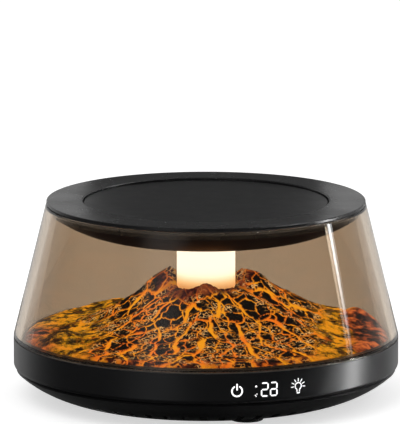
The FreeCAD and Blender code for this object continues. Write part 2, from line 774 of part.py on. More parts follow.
def make_display_cable():
    """Flat cable from the display's board down to the control board."""
    body = new_body("display_cable")
    section = new_sketch(body, "section", "YZ_Plane", ("0", "0", "-ribbon_width / 2"))
    outer = "(ribbon_bend + ribbon_thickness)"
    end_y = f"-({BOARD_EDGE} - ribbon_margin - ribbon_thickness)"
    low = f"({SIGN_HEIGHT} - {outer} / 2 + ribbon_bend / 2)"
    start = f"-{SIGN_BOARD_BACK}"
    high = f"({low} + ribbon_thickness)"
    near = f"({end_y} - ribbon_thickness)"
    middle_y = f"({near} - ribbon_bend)"
    middle_z = f"({low} - ribbon_bend)"
    half = "sqrt(0.5)"
    draw_outline(section, [
        (start, high),
        (start, low),
        (middle_y, low),
        (near, middle_z, f"{middle_y} + ribbon_bend * {half}",
         f"{middle_z} + ribbon_bend * {half}"),
        (near, "board_top"),
        (end_y, "board_top"),
        (end_y, middle_z),
        (middle_y, high, f"{middle_y} + {outer} * {half}", f"{middle_z} + {outer} * {half}"),
    ])
    raise_solid(body, "band", section, "ribbon_width")


def make_tube():
    """Threaded tube from under the deck to the top's underside, with its nuts and washers."""
    tube = new_body("support_tube")
    low = f"({NUT_LOW} - tube_end)"
    bore = "(tube_radius - tube_wall)"
    turn(tube, "wall", [(bore, low), ("tube_radius", low), ("tube_radius", NUT_TOP),
                        (bore, NUT_TOP)])
    nuts = new_body("tube_nuts")
    washers = new_body("tube_washers")
    levels = {
        "lower": (NUT_LOW, "lower_nut_height", f"({DECK_LOW} - washer_thickness)"),
        "upper": (f"({DISH_FLOOR} + washer_thickness)", "upper_nut_height", DISH_FLOOR),
    }
    corner = f"(nut_across_flats / 2 / cos({SIXTH_TURN} / 2))"
    for name, (nut_low, nut_height, washer_low) in levels.items():
        hexagon = new_sketch(nuts, f"{name}_plan", "XY_Plane", ("0", "0", nut_low))
        draw_outline(hexagon, [(f"{corner} * cos({angle})", f"{corner} * sin({angle})")
                               for angle in range(0, FULL_TURN, SIXTH_TURN)])
        draw_circle(hexagon, "0", "0", "tube_radius")
        raise_solid(nuts, name, hexagon, nut_height)
        disc = new_sketch(washers, f"{name}_plan", "XY_Plane", ("0", "0", washer_low))
        draw_circle(disc, "0", "0", "washer_radius")
        draw_circle(disc, "0", "0", TUBE_HOLE)
        raise_solid(washers, name, disc, "washer_thickness")


def make_lamps():
    """Ring board with its lamps under the volcano, and the small board in the column's top."""
    ring = new_body("lava_light_board")
    plan = new_sketch(ring, "plan", "XY_Plane", ("0", "0", "deck_height"))
    draw_circle(plan, "0", "0", "ring_outer_radius")
    draw_circle(plan, "0", "0", "ring_inner_radius")
    raise_solid(ring, "sheet", plan, "ring_board_thickness")

    lights = new_body("lava_lights")
    square = new_sketch(lights, "square", "XY_Plane",
                        ("0", "0", "(deck_height + ring_board_thickness)"))
    draw_box(square, "lamp_circle - lamp_size / 2", "lamp_circle + lamp_size / 2",
             "-lamp_size / 2", "lamp_size / 2")
    lamp = raise_solid(lights, "lamp", square, "lamp_height")
    repeat(lights, lamp, "lamp_count")

    small = new_body("column_light_board")
    low = f"({DISH_LOW} - column_board_thickness)"
    disc = new_sketch(small, "plan", "XY_Plane", ("0", "0", low))
    rim = "(column_radius - column_wall - slide_gap)"
    draw_circle(disc, "0", "0", rim)
    draw_circle(disc, "0", "0", TUBE_HOLE)
    raise_solid(small, "sheet", disc, "column_board_thickness")

    bulbs = new_body("column_lights")
    spot = f"(({rim} + {TUBE_HOLE}) / 2)"
    cell = new_sketch(bulbs, "square", "XY_Plane", ("0", "0", f"({low} - column_lamp_height)"))
    draw_box(cell, f"{spot} - column_lamp_size / 2", f"{spot} + column_lamp_size / 2",
             "-column_lamp_size / 2", "column_lamp_size / 2")
    bulb = raise_solid(bulbs, "lamp", cell, "column_lamp_height")
    repeat(bulbs, bulb, "column_lamp_count")


def make_light_column():
    """Opal tube that stands on the deck and rises through the crater to the top."""
    body = new_body("light_column")
    inside = "(column_radius - column_wall)"
    turn(body, "wall", [(inside, "deck_height"), ("column_radius", "deck_height"),
                        ("column_radius", DISH_LOW), (inside, DISH_LOW)])


def make_shade():
    """Smoked cone with a stepped lip at its top, and the pale ring under its foot."""
    shade = new_body("smoked_shade")
    lean = f"((base_radius - shade_top_radius) / ({SHADE_TOP} - {SHADE_FOOT}))"
    lip = "(shade_top_radius - shade_wall + shade_lip_step)"
    turn(shade, "cone", [
        ("(base_radius - shade_wall)", SHADE_FOOT),
        ("base_radius", SHADE_FOOT),
        ("shade_top_radius", SHADE_TOP),
        (lip, SHADE_TOP),
        (lip, f"{SHADE_TOP} - shade_lip_step / {lean}"),
    ])
    gasket = new_body("shade_gasket")
    outer = "(base_radius - gasket_inset)"
    lip_outer = "(base_radius - shade_wall - gasket_clearance)"
    lip_narrow = f"({lip_outer} - gasket_lip_height * {lean})"
    lip_inner = f"({lip_narrow} - gasket_lip)"
    turn(gasket, "ring", [
        (lip_inner, "deck_height"),
        (outer, "deck_height"),
        (outer, SHADE_FOOT),
        (lip_outer, SHADE_FOOT),
        (lip_narrow, f"({SHADE_FOOT} + gasket_lip_height)"),
        (lip_inner, f"({SHADE_FOOT} + gasket_lip_height)"),
    ])
    seal = new_body("top_gasket")
    seal_outer = "(shade_top_radius - gasket_inset)"
    turn(seal, "ring", [(lip, SHADE_TOP), (seal_outer, SHADE_TOP), (seal_outer, FLANGE_LOW),
                        (lip, FLANGE_LOW)])


def make_top_housing():
    """Ring with a thin flange, a skirt inside the shade and a stepped seat for the plate."""
    body = new_body("top_housing")
    flange = "(shade_top_radius - flange_inset)"
    wall = f"({SEAT_RADIUS} + seat_wall)"
    under = "(total_height - top_wall)"
    shell = turn(body, "shell", [
        (SEAT_RADIUS, "total_height"),
        (SEAT_RADIUS, LEDGE_TOP),
        (LEDGE_EDGE, LEDGE_TOP),
        (LEDGE_EDGE, SCREW_LEDGE),
        (LEDGE_INNER, SCREW_LEDGE),
        (LEDGE_INNER, SCREW_LEDGE_LOW),
        (wall, SCREW_LEDGE_LOW),
        (wall, under),
        (SKIRT_INSIDE, under),
        (SKIRT_INSIDE, SKIRT_LOW),
        (SKIRT_RADIUS, SKIRT_LOW),
        (SKIRT_RADIUS, FLANGE_LOW),
        (flange, FLANGE_LOW),
        (flange, "total_height"),
    ])
    rim = round_edge(body, "rim_round", shell, flange, "total_height", "flange_round")
    round_edge(body, "seat_round", rim, SEAT_RADIUS, "total_height", "seat_round")
    hole = drill(body, "screw_hole", SCREW_LEDGE_LOW, SCREW_LEDGE,
                 [(TOP_SCREW_CIRCLE, "0", "(top_screw_radius + small_screw_gap)")])
    repeat(body, hole, "top_screw_count")


def make_ceiling_dish():
    """Bulged underside of the top, with a rim that plugs into the skirt and screw bosses."""
    body = new_body("ceiling_dish")
    spigot = f"({SKIRT_INSIDE} - slide_gap)"
    inside = f"({spigot} - dish_spigot_wall)"
    inner_rise = f"({SKIRT_LOW} - slide_gap)"
    inner_flat = "(dish_flat_radius - dish_wall / 2)"
    turn(body, "shell", [
        (TUBE_HOLE, DISH_FLOOR),
        (TUBE_HOLE, DISH_LOW),
        ("dish_flat_radius", DISH_LOW),
        rising_arc("dish_flat_radius", DISH_LOW, SKIRT_RADIUS, SKIRT_LOW),
        (spigot, SKIRT_LOW),
        (spigot, f"({SKIRT_LOW} + dish_spigot)"),
        (inside, f"({SKIRT_LOW} + dish_spigot)"),
        (inside, inner_rise),
        falling_arc(inside, inner_rise, inner_flat, DISH_FLOOR),
    ])
    boss_foot = f"({DISH_FLOOR} + slide_gap)"
    boss = pad_circles(body, "boss", boss_foot, SCREW_LEDGE_LOW,
                       [(TOP_SCREW_CIRCLE, "0", "top_boss_radius")])
    repeat(body, boss, "top_screw_count")
    pilot = drill(body, "pilot", f"({SCREW_LEDGE} - top_screw_length)", SCREW_LEDGE_LOW,
                  [(TOP_SCREW_CIRCLE, "0", "top_screw_radius")])
    repeat(body, pilot, "top_screw_count")


def make_top_screws():
    """Screws that go down through the ring's ledge into the dish."""
    body = new_body("top_screws")
    high = f"({SCREW_LEDGE} + top_head_height)"
    dome = f"(top_head_height {HEAD_DOME})"
    screw = turn(body, "screw", [
        ("0", high),
        ("0", f"({SCREW_LEDGE} - top_screw_length)"),
        ("top_screw_radius", f"({SCREW_LEDGE} - top_screw_length)"),
        ("top_screw_radius", SCREW_LEDGE),
        ("top_head_radius", SCREW_LEDGE),
        ("top_head_radius", f"{high} - {dome}"),
        (f"top_head_radius - {dome}", high),
    ], out=TOP_SCREW_CIRCLE)
    repeat(body, screw, "top_screw_count")


def make_heater():
    """Plate, its gasket, element, pad, bracket, screws, sensor and fuse."""
    plate = new_body("heating_plate")
    rim = f"({SEAT_RADIUS} - plate_gap)"
    disc = turn(plate, "disc", [("0", PLATE_LOW), (rim, PLATE_LOW), (rim, PLATE_TOP),
                                ("0", PLATE_TOP)])
    round_edge(plate, "rim_round", disc, rim, PLATE_TOP, "plate_round")
    stud = pad_circles(plate, "stud", PAD_LOW, PLATE_LOW, [("0", STUD_CIRCLE, "stud_radius")])
    repeat(plate, stud, "stud_count")
    pilot = drill(plate, "pilot", PAD_LOW, f"({PAD_LOW} + bracket_screw_length)",
                  [("0", STUD_CIRCLE, "top_screw_radius")])
    repeat(plate, pilot, "stud_count")

    gasket = new_body("plate_gasket")
    turn(gasket, "ring", [(LEDGE_EDGE, LEDGE_TOP), (rim, LEDGE_TOP),
                          (rim, PLATE_LOW), (LEDGE_EDGE, PLATE_LOW)])

    sensor_hole = ("0", f"-{SENSOR_PLACE}", "(sensor_radius + sensor_gap)")
    stud_hole = ("0", STUD_CIRCLE, "(stud_radius + stud_gap)")
    layers = {
        "heating_element": (ELEMENT_LOW, PLATE_LOW, STACK_RADIUS, None, stud_hole),
        "insulation_pad": (PAD_LOW, ELEMENT_LOW, STACK_RADIUS, "bracket_hole_radius", stud_hole),
        "heater_bracket": (BRACKET_LOW, PAD_LOW, BRACKET_RADIUS, "bracket_hole_radius",
                           ("0", STUD_CIRCLE, "(top_screw_radius + small_screw_gap)")),
    }
    for label, (low, high, outer, middle_hole, hole) in layers.items():
        layer = new_body(label)
        plan = new_sketch(layer, "plan", "XY_Plane", ("0", "0", low))
        draw_circle(plan, "0", "0", outer)
        if middle_hole:
            draw_circle(plan, "0", "0", middle_hole)
        raise_solid(layer, "sheet", plan, f"{high} - {low}")
        if label != "heater_bracket":
            drill(layer, "sensor_hole", low, high, [sensor_hole])
        holes = drill(layer, "stud_hole", low, high, [hole])
        repeat(layer, holes, "stud_count")

    screws = new_body("bracket_screws")
    screw = turn(screws, "screw", screw_outline(
        "top_head_radius", "top_head_height", "top_screw_radius",
        "(bracket_screw_length + bracket_thickness - slide_gap)", BRACKET_LOW), out=STUD_CIRCLE)
    repeat(screws, screw, "stud_count")
    swing(screws, QUARTER_TURN)

    sensor = new_body("temperature_sensor")
    pad_circles(sensor, "bead", PAD_LOW, PLATE_LOW,
                [("0", f"-{SENSOR_PLACE}", "sensor_radius")])

    fuse = new_body("thermal_fuse")
    middle = f"({BRACKET_LOW} - fuse_radius)"
    barrel = new_sketch(fuse, "barrel_end", "YZ_Plane", ("0", "0", "-fuse_length / 2"))
    draw_circle(barrel, "-fuse_place", middle, "fuse_radius")
    raise_solid(fuse, "barrel", barrel, "fuse_length")
    tails = new_sketch(fuse, "tail_end", "YZ_Plane",
                       ("0", "0", "-(fuse_length / 2 + fuse_tail_length)"))
    draw_circle(tails, "-fuse_place", middle, "fuse_tail_radius")
    raise_solid(fuse, "tails", tails, "fuse_length + 2 * fuse_tail_length")


def terrain_rule():
    """Give the landscape's height as a function of the radius and the angle in radians."""
    crater = size("crater_radius")
    edge = size(TERRAIN_RADIUS)
    throat = size("column_radius + throat_gap")
    plain = size("deck_height + plain_rise")
    crater_height = size("deck_height + crater_rise")
    crater_drop = size("crater_drop")
    crest_sway = size("crest_sway")
    crest_lean = size("crest_lean")
    crest_notch = size("crest_notch")
    spur_size = size("spur_size")
    spur_count = round(size("spur_count"))
    gully_size = size("gully_size")
    gully_count = round(size("gully_count"))
    gully_lead = math.radians(size("gully_lead"))
    crest_turn = math.radians(size("crest_turn"))
    power = size("slope_power")
    slope_lean = size("slope_lean")
    mound_place = edge - size("mound_inset")
    mound_height = size("mound_height")
    spread = size("mound_spread")
    front = math.radians(-QUARTER_TURN)

    def height(radius, angle):
        turned = angle + crest_turn
        spurs = math.cos(spur_count * (turned - front))
        gullies = math.cos(gully_count * (turned - front) + gully_lead)
        crest = (crater_height + crest_sway * math.cos(2 * turned)
                 - crest_lean * math.cos(turned) + crest_notch * spurs)
        if radius < crater:
            inward = (crater - radius) / (crater - throat)
            level = crest - crater_drop * inward
        else:
            share = (radius - crater) / (edge - crater)
            swell = spur_size * spurs + gully_size * gullies + slope_lean * math.cos(turned)
            shift = swell * math.sin(math.pi * share)
            down = min(max(1 - share + shift / (edge - crater), 0), 1)
            level = plain + (crest - plain) * down ** power
        for side, share in MOUNDS:
            across = radius * math.cos(angle) - mound_place * math.cos(math.radians(side))
            along = radius * math.sin(angle) - mound_place * math.sin(math.radians(side))
            distance = math.hypot(across, along) / spread
            level += mound_height * share * math.exp(-distance ** 2 / 2)
        return level

    return height


def make_volcano():
    """Moulded shell with crater, spurs and foothills, in flat facets between rings of points."""
    height = terrain_rule()
    sides = round(size("terrain_sides"))
    count = round(size("terrain_rings"))
    wall = size("terrain_wall")
    deck = size("deck_height")
    edge = size(TERRAIN_RADIUS)
    crater = size("crater_radius")
    throat = size("column_radius + throat_gap")

    def ring(radius, level):
        points = []
        for step in range(sides):
            angle = 2 * math.pi * step / sides
            points.append(FreeCAD.Vector(radius * math.cos(angle), radius * math.sin(angle),
                                         level(radius, angle)))
        return points

    def on_deck(radius, angle):
        return deck

    def under(radius, angle):
        return max(height(radius, angle) - wall, deck + wall / SHELL_FOOT_SHARE)

    outside = [throat, crater]
    outside += [crater + (edge - crater) * (step / count) ** OUTWARD_CROWDING
                for step in range(1, count + 1)]
    inner_edge = edge - wall
    inner_throat = throat + wall
    half = count // 2
    inside = [inner_edge + (inner_throat - inner_edge) * step / half for step in range(half + 1)]
    rings = [ring(radius, height) for radius in outside]
    rings += [ring(edge, on_deck), ring(inner_edge, on_deck)]
    rings += [ring(radius, under) for radius in inside]
    rings += [ring(inner_throat, on_deck), ring(throat, on_deck)]

    faces = []
    for index, points in enumerate(rings):
        following = rings[(index + 1) % len(rings)]
        for step in range(sides):
            beside = (step + 1) % sides
            corners = (points[step], following[step], following[beside], points[beside])
            for trio in (corners[:3], (corners[0], corners[2], corners[3])):
                faces.append(Part.Face(Part.makePolygon([*trio, trio[0]])))
    plain_shape("volcano", Part.makeSolid(Part.makeShell(faces)))


def check_and_write():
    """Stop on any failed object, then write each sub-part to its own file."""
    document.recompute()
    for item in document.Objects:
        if "Invalid" in item.State or "Error" in item.State:
            raise RuntimeError(f"{item.Name} failed: {item.State}")
    for part in SUB_PARTS:
        if part.Shape.isNull() or not part.Shape.isValid():
            raise RuntimeError(f"{part.Label} has no valid shape")
    os.makedirs("parts", exist_ok=True)
    for part in SUB_PARTS:
        part.Shape.exportStep(f"parts/{part.Label}.step")
        print(f"{part.Label}: {len(part.Shape.Solids)} solids, {part.Shape.Volume:.0f} mm3")


make_base_housing()
make_bottom_cover()
make_rubber_feet()
make_base_screws()
make_control_board()
make_board_screws()
make_board_components()
make_display()
make_display_cable()
make_power_jack()
make_tube()
make_lamps()
make_leads()
make_volcano()
make_light_column()
make_shade()
make_top_housing()
make_ceiling_dish()
make_top_screws()
make_heater()
check_and_write()
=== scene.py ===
import json
import math

import bpy
import numpy as np
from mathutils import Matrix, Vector


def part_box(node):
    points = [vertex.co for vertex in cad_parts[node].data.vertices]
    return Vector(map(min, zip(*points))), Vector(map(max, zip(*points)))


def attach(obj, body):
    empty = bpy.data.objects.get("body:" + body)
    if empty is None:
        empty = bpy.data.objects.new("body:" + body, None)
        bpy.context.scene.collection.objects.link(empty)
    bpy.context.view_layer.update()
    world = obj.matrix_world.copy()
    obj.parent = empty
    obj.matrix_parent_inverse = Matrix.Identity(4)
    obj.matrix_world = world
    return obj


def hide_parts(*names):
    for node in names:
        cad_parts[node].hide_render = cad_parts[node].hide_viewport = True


# Electric mug warmer: smoked cone shade over a glowing volcano landscape, black base and top.
# The frame's origin is on the table under the middle, signs towards -Y.

MM = 0.001
ROUND_SIDES = 256
SHARP_ANGLE = math.radians(32)

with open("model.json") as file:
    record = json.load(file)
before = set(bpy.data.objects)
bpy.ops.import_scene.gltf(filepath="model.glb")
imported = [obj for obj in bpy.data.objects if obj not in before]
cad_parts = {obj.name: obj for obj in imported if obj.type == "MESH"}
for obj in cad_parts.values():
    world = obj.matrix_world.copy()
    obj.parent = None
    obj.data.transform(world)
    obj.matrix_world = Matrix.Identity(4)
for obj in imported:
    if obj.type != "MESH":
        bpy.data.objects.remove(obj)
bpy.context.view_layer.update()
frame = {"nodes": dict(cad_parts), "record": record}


# Places read from the frame, in metres

base_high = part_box("base_housing")[1]
shade_low, shade_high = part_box("smoked_shade")
land_low, land_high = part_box("volcano")
column_low, column_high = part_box("light_column")
digit_low, digit_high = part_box("digit_module")
spring_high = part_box("touch_springs")[1]

BASE_RADIUS = base_high.x
DECK = land_low.z
COLUMN_RADIUS = column_high.x
LAND_RADIUS = land_high.x
SIGN_HEIGHT = (digit_low.z + digit_high.z) / 2
FRONT = math.radians(-90)

# Camera: low, and a little to the left of the signs

AZIMUTH = math.radians(-18.4)
ELEVATION = math.radians(10.45)
DISTANCE = 2.3
PICTURE_TALL = 424
METRES_PER_PIXEL = 0.3628 * MM
SENSOR = 36.0
FARTHEST = 50
AIM_HEIGHT = 67.45 * MM
AIM_LEFT = 6 * METRES_PER_PIXEL
SIDEWAYS = Vector((math.cos(AZIMUTH), math.sin(AZIMUTH), 0))
TOWARDS_CAMERA = Vector((math.sin(AZIMUTH), -math.cos(AZIMUTH), 0))


def make_camera():
    data = bpy.data.cameras.new("front_camera")
    data.sensor_fit = "VERTICAL"
    data.sensor_height = SENSOR
    data.lens = DISTANCE * SENSOR / (METRES_PER_PIXEL * PICTURE_TALL)
    data.clip_end = FARTHEST
    camera = bpy.data.objects.new("front_camera", data)
    bpy.context.scene.collection.objects.link(camera)
    back = TOWARDS_CAMERA * math.cos(ELEVATION) + Vector((0, 0, math.sin(ELEVATION)))
    aim = Vector((0, 0, AIM_HEIGHT)) - SIDEWAYS * AIM_LEFT
    camera.location = aim + back * DISTANCE
    camera.rotation_euler = back.to_track_quat("Z", "Y").to_euler()
    bpy.context.scene.camera = camera


# Node trees


def tone(red, green, blue):
    """Linear colour of a screen colour given in 0 to 255."""
    shares = [value / 255 for value in (red, green, blue)]
    linear = [s / 12.92 if s <= 0.04045 else ((s + 0.055) / 1.055) ** 2.4 for s in shares]
    return (*linear, 1)


class Nodes:
    """A node tree with short calls for what several finishes share."""

    def __init__(self, tree):
        self.tree = tree

    def feed(self, socket, value):
        if isinstance(value, bpy.types.NodeSocket):
            self.tree.links.new(value, socket)
        else:
            socket.default_value = value

    def add(self, kind, inputs=(), **settings):
        node = self.tree.nodes.new(f"ShaderNode{kind}")
        for name, value in settings.items():
            setattr(node, name, value)
        for name, value in dict(inputs).items():
            self.feed(node.inputs[name], value)
        return node

    def math(self, operation, *values):
        node = self.add("Math", operation=operation)
        for socket, value in zip(node.inputs, values):
            self.feed(socket, value)
        return node.outputs[0]

    def most(self, first, *others):
        """The largest of several values."""
        for other in others:
            first = self.math("MAXIMUM", first, other)
        return first

    def weighted(self, *pairs):
        """Sum of values, each times its weight."""
        total, *others = [self.math("MULTIPLY", value, weight) for value, weight in pairs]
        for other in others:
            total = self.math("ADD", total, other)
        return total

    def ease(self, value, start, end, low=0.0, high=1.0):
        """A smooth step from low at start to high at end."""
        return self.add("MapRange", {"Value": value, "From Min": start, "From Max": end,
                                     "To Min": low, "To Max": high},
                        interpolation_type="SMOOTHSTEP").outputs["Result"]

    def mix(self, share, first, second):
        node = self.add("Mix", data_type="RGBA")
        self.feed(node.inputs["Factor"], share)
        self.feed(node.inputs[6], first)
        self.feed(node.inputs[7], second)
        return node.outputs[2]

    def noise(self, place, scale, detail=2.0, roughness=0.5):
        return self.add("TexNoise", {"Vector": place, "Scale": scale, "Detail": detail,
                                     "Roughness": roughness})

    def ramp(self, value, stops):
        """Colours at stated places from 0 to 1."""
        node = self.add("ValToRGB", {"Fac": value})
        band = node.color_ramp.elements
        while len(band) < len(stops):
            band.new(0.5)
        for element, (position, colour) in zip(band, stops):
            element.position = position
            element.color = colour
        return node.outputs["Color"]

    def dot(self, vector, direction):
        node = self.add("VectorMath", operation="DOT_PRODUCT")
        self.feed(node.inputs[0], vector)
        node.inputs[1].default_value = direction
        return node.outputs["Value"]


class Finish(Nodes):
    """A material's tree, with its shader and object coordinates at hand."""

    def __init__(self, name, **constants):
        self.material = bpy.data.materials.new(name)
        self.material.use_nodes = True
        super().__init__(self.material.node_tree)
        self.shader = self.tree.nodes["Principled BSDF"]
        self.place = self.add("TexCoord").outputs["Object"]
        for socket, value in constants.items():
            self.set(socket.replace("_", " "), value)

    def set(self, socket, value):
        self.feed(self.shader.inputs[socket], value)

    def bump(self, height, distance, strength=1.0):
        node = self.add("Bump", {"Height": height, "Distance": distance, "Strength": strength})
        self.set("Normal", node.outputs["Normal"])


PATCH_DETAIL = 4.0
PATCH_SPAN = (0.25, 0.75)
GRAIN_DETAIL = 3.0


def mottled(name, dark, light, rough, spread, patches, grains, depth, **constants):
    """Two close tones, uneven gloss and a fine grain: so many to the metre, and so many mm deep."""
    finish = Finish(name, **constants)
    share = finish.noise(finish.place, patches, PATCH_DETAIL).outputs["Fac"]
    relief = finish.noise(finish.place, grains, GRAIN_DETAIL).outputs["Fac"]
    finish.set("Base Color", finish.mix(share, dark, light))
    finish.set("Roughness", finish.ease(share, *PATCH_SPAN, rough - spread, rough + spread))
    finish.bump(relief, depth * MM)
    return finish.material


MOTTLED = {
    "base_plastic": dict(dark=(0.0045, 0.0045, 0.005, 1), light=(0.008, 0.008, 0.0085, 1),
                         rough=0.325, spread=0.03, patches=60, grains=2600, depth=0.012),
    "top_plastic": dict(dark=(0.006, 0.006, 0.0065, 1), light=(0.011, 0.011, 0.0115, 1),
                        rough=0.27, spread=0.04, patches=60, grains=2200, depth=0.01),
    # Painted light: the dish under the top is black plastic, and these reddish-brown tones paint the
    # lava's red glow onto it
    "lava_lit_ceiling": dict(dark=(0.016, 0.007, 0.004, 1), light=(0.026, 0.011, 0.006, 1),
                    rough=0.5, spread=0.04, patches=60, grains=2200, depth=0.01,
                    Specular_IOR_Level=0.12),
    "plate_coating": dict(dark=(0.003, 0.003, 0.0035, 1), light=(0.007, 0.007, 0.0075, 1),
                          rough=0.36, spread=0.04, patches=90, grains=3200, depth=0.018),
    "gasket": dict(dark=tone(150, 142, 134), light=tone(176, 168, 160),
                   rough=0.35, spread=0.05, patches=200, grains=1500, depth=0.02,
                   Transmission_Weight=0.85, IOR=1.41),
    "black_rubber": dict(dark=(0.01, 0.01, 0.01, 1), light=(0.022, 0.022, 0.022, 1),
                         rough=0.72, spread=0.06, patches=120, grains=1800, depth=0.05),
    "circuit_board": dict(dark=tone(20, 62, 40), light=tone(34, 88, 56),
                          rough=0.38, spread=0.05, patches=400, grains=1500, depth=0.03),
    "component": dict(dark=tone(26, 26, 28), light=tone(44, 44, 48),
                      rough=0.45, spread=0.05, patches=300, grains=1500, depth=0.02),
    "mica": dict(dark=tone(150, 126, 92), light=tone(182, 160, 122),
                 rough=0.4, spread=0.08, patches=500, grains=900, depth=0.03),
    "felt": dict(dark=tone(196, 192, 184), light=tone(226, 222, 214),
                 rough=0.9, spread=0.05, patches=900, grains=1400, depth=0.12),
    "lead": dict(dark=tone(150, 24, 20), light=tone(178, 40, 30),
                 rough=0.42, spread=0.05, patches=200, grains=900, depth=0.03),
}

BRIGHT_METAL = tone(235, 235, 235)
DRAWN_LINES = 900.0
DRAWN_DEPTH = 0.02 * MM
DRAWN_SPAN = (0.3, 0.7)
DRAWN_SPREAD = 0.08
BRUSHED = {
    "steel": dict(colour=tone(150, 150, 154), rough=0.32),
    "spring_steel": dict(colour=tone(120, 120, 126), rough=0.25),
}


def brushed(name, colour, rough):
    """Bare metal with fine drawn lines."""
    finish = Finish(name, Metallic=1.0)
    lines = finish.noise(finish.place, DRAWN_LINES).outputs["Fac"]
    finish.set("Base Color", finish.mix(lines, colour, BRIGHT_METAL))
    finish.set("Roughness", finish.ease(lines, *DRAWN_SPAN, rough - DRAWN_SPREAD, rough + DRAWN_SPREAD))
    finish.bump(lines, DRAWN_DEPTH)
    return finish.material


HAZE = 800.0
LIT_ROUGHNESS = 0.4
GLOWING = {
    "sign_light": dict(colour=tone(250, 250, 250), light_colour=(1, 1, 1, 1), strength=0.85),
    "lamp": dict(colour=tone(255, 226, 170), light_colour=(1.0, 0.62, 0.25, 1), strength=1.2),
}


def glowing(name, colour, light_colour, strength):
    """A lit lamp or sign: its plastic face and the light that it gives."""
    finish = Finish(name, Roughness=LIT_ROUGHNESS)
    haze = finish.noise(finish.place, HAZE).outputs["Fac"]
    finish.set("Base Color", colour)
    finish.set("Emission Color", finish.mix(haze, light_colour, colour))
    finish.set("Emission Strength", strength)
    return finish.material


GLASS_BEND = 1.49
GLASS_TINTS = ((0.535, 0.445, 0.350, 1), (0.560, 0.463, 0.360, 1))
GLASS_CLOUDS = 6.0


def glass_finish():
    """Smoked acrylic: clear, with a brown-grey tint that varies a little."""
    finish = Finish("smoked_acrylic", Roughness=0.0, IOR=GLASS_BEND, Transmission_Weight=1.0)
    share = finish.noise(finish.place, GLASS_CLOUDS, 1.0).outputs["Fac"]
    finish.set("Base Color", finish.mix(share, *GLASS_TINTS))
    return finish.material


# The glow is brightest at the top of the column and warms towards the crater

OPAL_TONE = tone(240, 232, 214)
OPAL_ROUGHNESS = 0.35
GLOW_WARM_HEIGHT = 39.5 * MM
GLOW_WHITE_HEIGHT = 49.0 * MM
GLOW_STRENGTH = 2.6
GLOW_COLOURS = [
    (0.0, (0.48, 0.21, 0.06, 1)),
    (0.3, (0.72, 0.50, 0.26, 1)),
    (0.75, (0.96, 0.94, 0.84, 1)),
    (1.0, (1.0, 1.0, 0.95, 1)),
]


def opal_finish():
    finish = Finish("opal_glow", Roughness=OPAL_ROUGHNESS)
    height = finish.add("SeparateXYZ", {"Vector": finish.place}).outputs["Z"]
    share = finish.ease(height, GLOW_WARM_HEIGHT, GLOW_WHITE_HEIGHT)
    finish.set("Base Color", OPAL_TONE)
    finish.set("Emission Color", finish.ramp(share, GLOW_COLOURS))
    finish.set("Emission Strength", GLOW_STRENGTH)
    return finish.material


# Lava: the light that each part gives, as linear colours

LAVA_STRENGTH = 1.7
LAVA_SHEEN = 0.08
LAVA_RELIEF = 0.2 * MM
LAVA_SWAY = 1.1 * MM
ROCK_TONES = ((0.002, 0.002, 0.002, 1), (0.008, 0.005, 0.004, 1))
ROCK_ROUGHNESS = (0.45, 0.75)
PLATE_GLOW = (0.004, 0.003, 0.002, 1)
# Painted shade: the landscape's outer edge is darkened on the side that faces the camera
PAINTED_SHORE_SHADE = (0.010, 0.007, 0.003, 1)
CRATER_GLOW = (0.020, 0.005, 0.007, 1)
HAIR_GLOWS = ((0.72, 0.30, 0.045, 1), (0.95, 0.62, 0.27, 1))
VEIN_GLOWS = ((1.0, 0.245, 0.018, 1), (1.0, 0.44, 0.016, 1))
BROOK_EDGE_GLOW = (0.55, 0.09, 0.012, 1)
RIVER_EDGE_GLOW = (0.55, 0.10, 0.008, 1)
FLAT_COLOURS = [
    (0.435, (0.008, 0.006, 0.001, 1)),
    (0.47, (0.12, 0.07, 0.003, 1)),
    (0.505, (0.46, 0.25, 0.006, 1)),
    (0.55, (1.0, 0.42, 0.014, 1)),
]
BANK_COLOURS = [
    (0.44, (0.010, 0.003, 0.003, 1)),
    (0.49, (0.07, 0.011, 0.010, 1)),
    (0.535, (0.26, 0.034, 0.020, 1)),
    (0.60, (0.70, 0.17, 0.05, 1)),
]

# How much of what lies under it each field covers at most, and the streaks' share in the banks

COVERS = {"flats": 0.88, "crest": 0.7, "ember": 0.9}
STREAK_SHARE = 0.45
SCREE_SHARE = 0.5

# Noises as lumps to the metre, with detail and roughness, or with the span of a smooth step

SWAY_LUMPS = 900.0
SCREE = (420.0, 5.0, 0.65)
SCREE_SPAN = (0.3, 0.7)
CRUMBS = (850.0, 4.0, 0.7)
HAIR_CELLS = 620.0
HAIR_SPAN = (0.11, 0.04)
HAIR_PATCHES = (130.0, 0.44, 0.54)
HAIR_BREAKS = (520.0, 0.40, 0.50)
HAIR_TINTS = (300.0, 0.4, 0.6)
VEIN_TINTS = (110.0, 0.35, 0.65)


def patchy(finish, lumps, start, end):
    """A share from 0 to 1 in patches."""
    return finish.ease(finish.noise(finish.place, lumps).outputs["Fac"], start, end)


def swayed_place(finish):
    """Object coordinates that wander by about a millimetre."""
    sway = finish.noise(finish.place, SWAY_LUMPS).outputs["Color"]
    shift = finish.add("VectorMath", operation="SCALE")
    finish.feed(shift.inputs[0], sway)
    shift.inputs["Scale"].default_value = LAVA_SWAY
    moved = finish.add("VectorMath", operation="ADD")
    finish.feed(moved.inputs[0], finish.place)
    finish.feed(moved.inputs[1], shift.outputs["Vector"])
    return moved.outputs["Vector"]


def plate_glow(finish, place):
    """Black plates with broken, pale hair cracks in patches."""
    some = finish.math("MULTIPLY", patchy(finish, *HAIR_PATCHES), patchy(finish, *HAIR_BREAKS))
    cells = finish.add("TexVoronoi", {"Vector": place, "Scale": HAIR_CELLS},
                       feature="DISTANCE_TO_EDGE")
    hair = finish.math("MULTIPLY", finish.ease(cells.outputs["Distance"], *HAIR_SPAN), some)
    return finish.mix(hair, PLATE_GLOW, finish.mix(patchy(finish, *HAIR_TINTS), *HAIR_GLOWS))


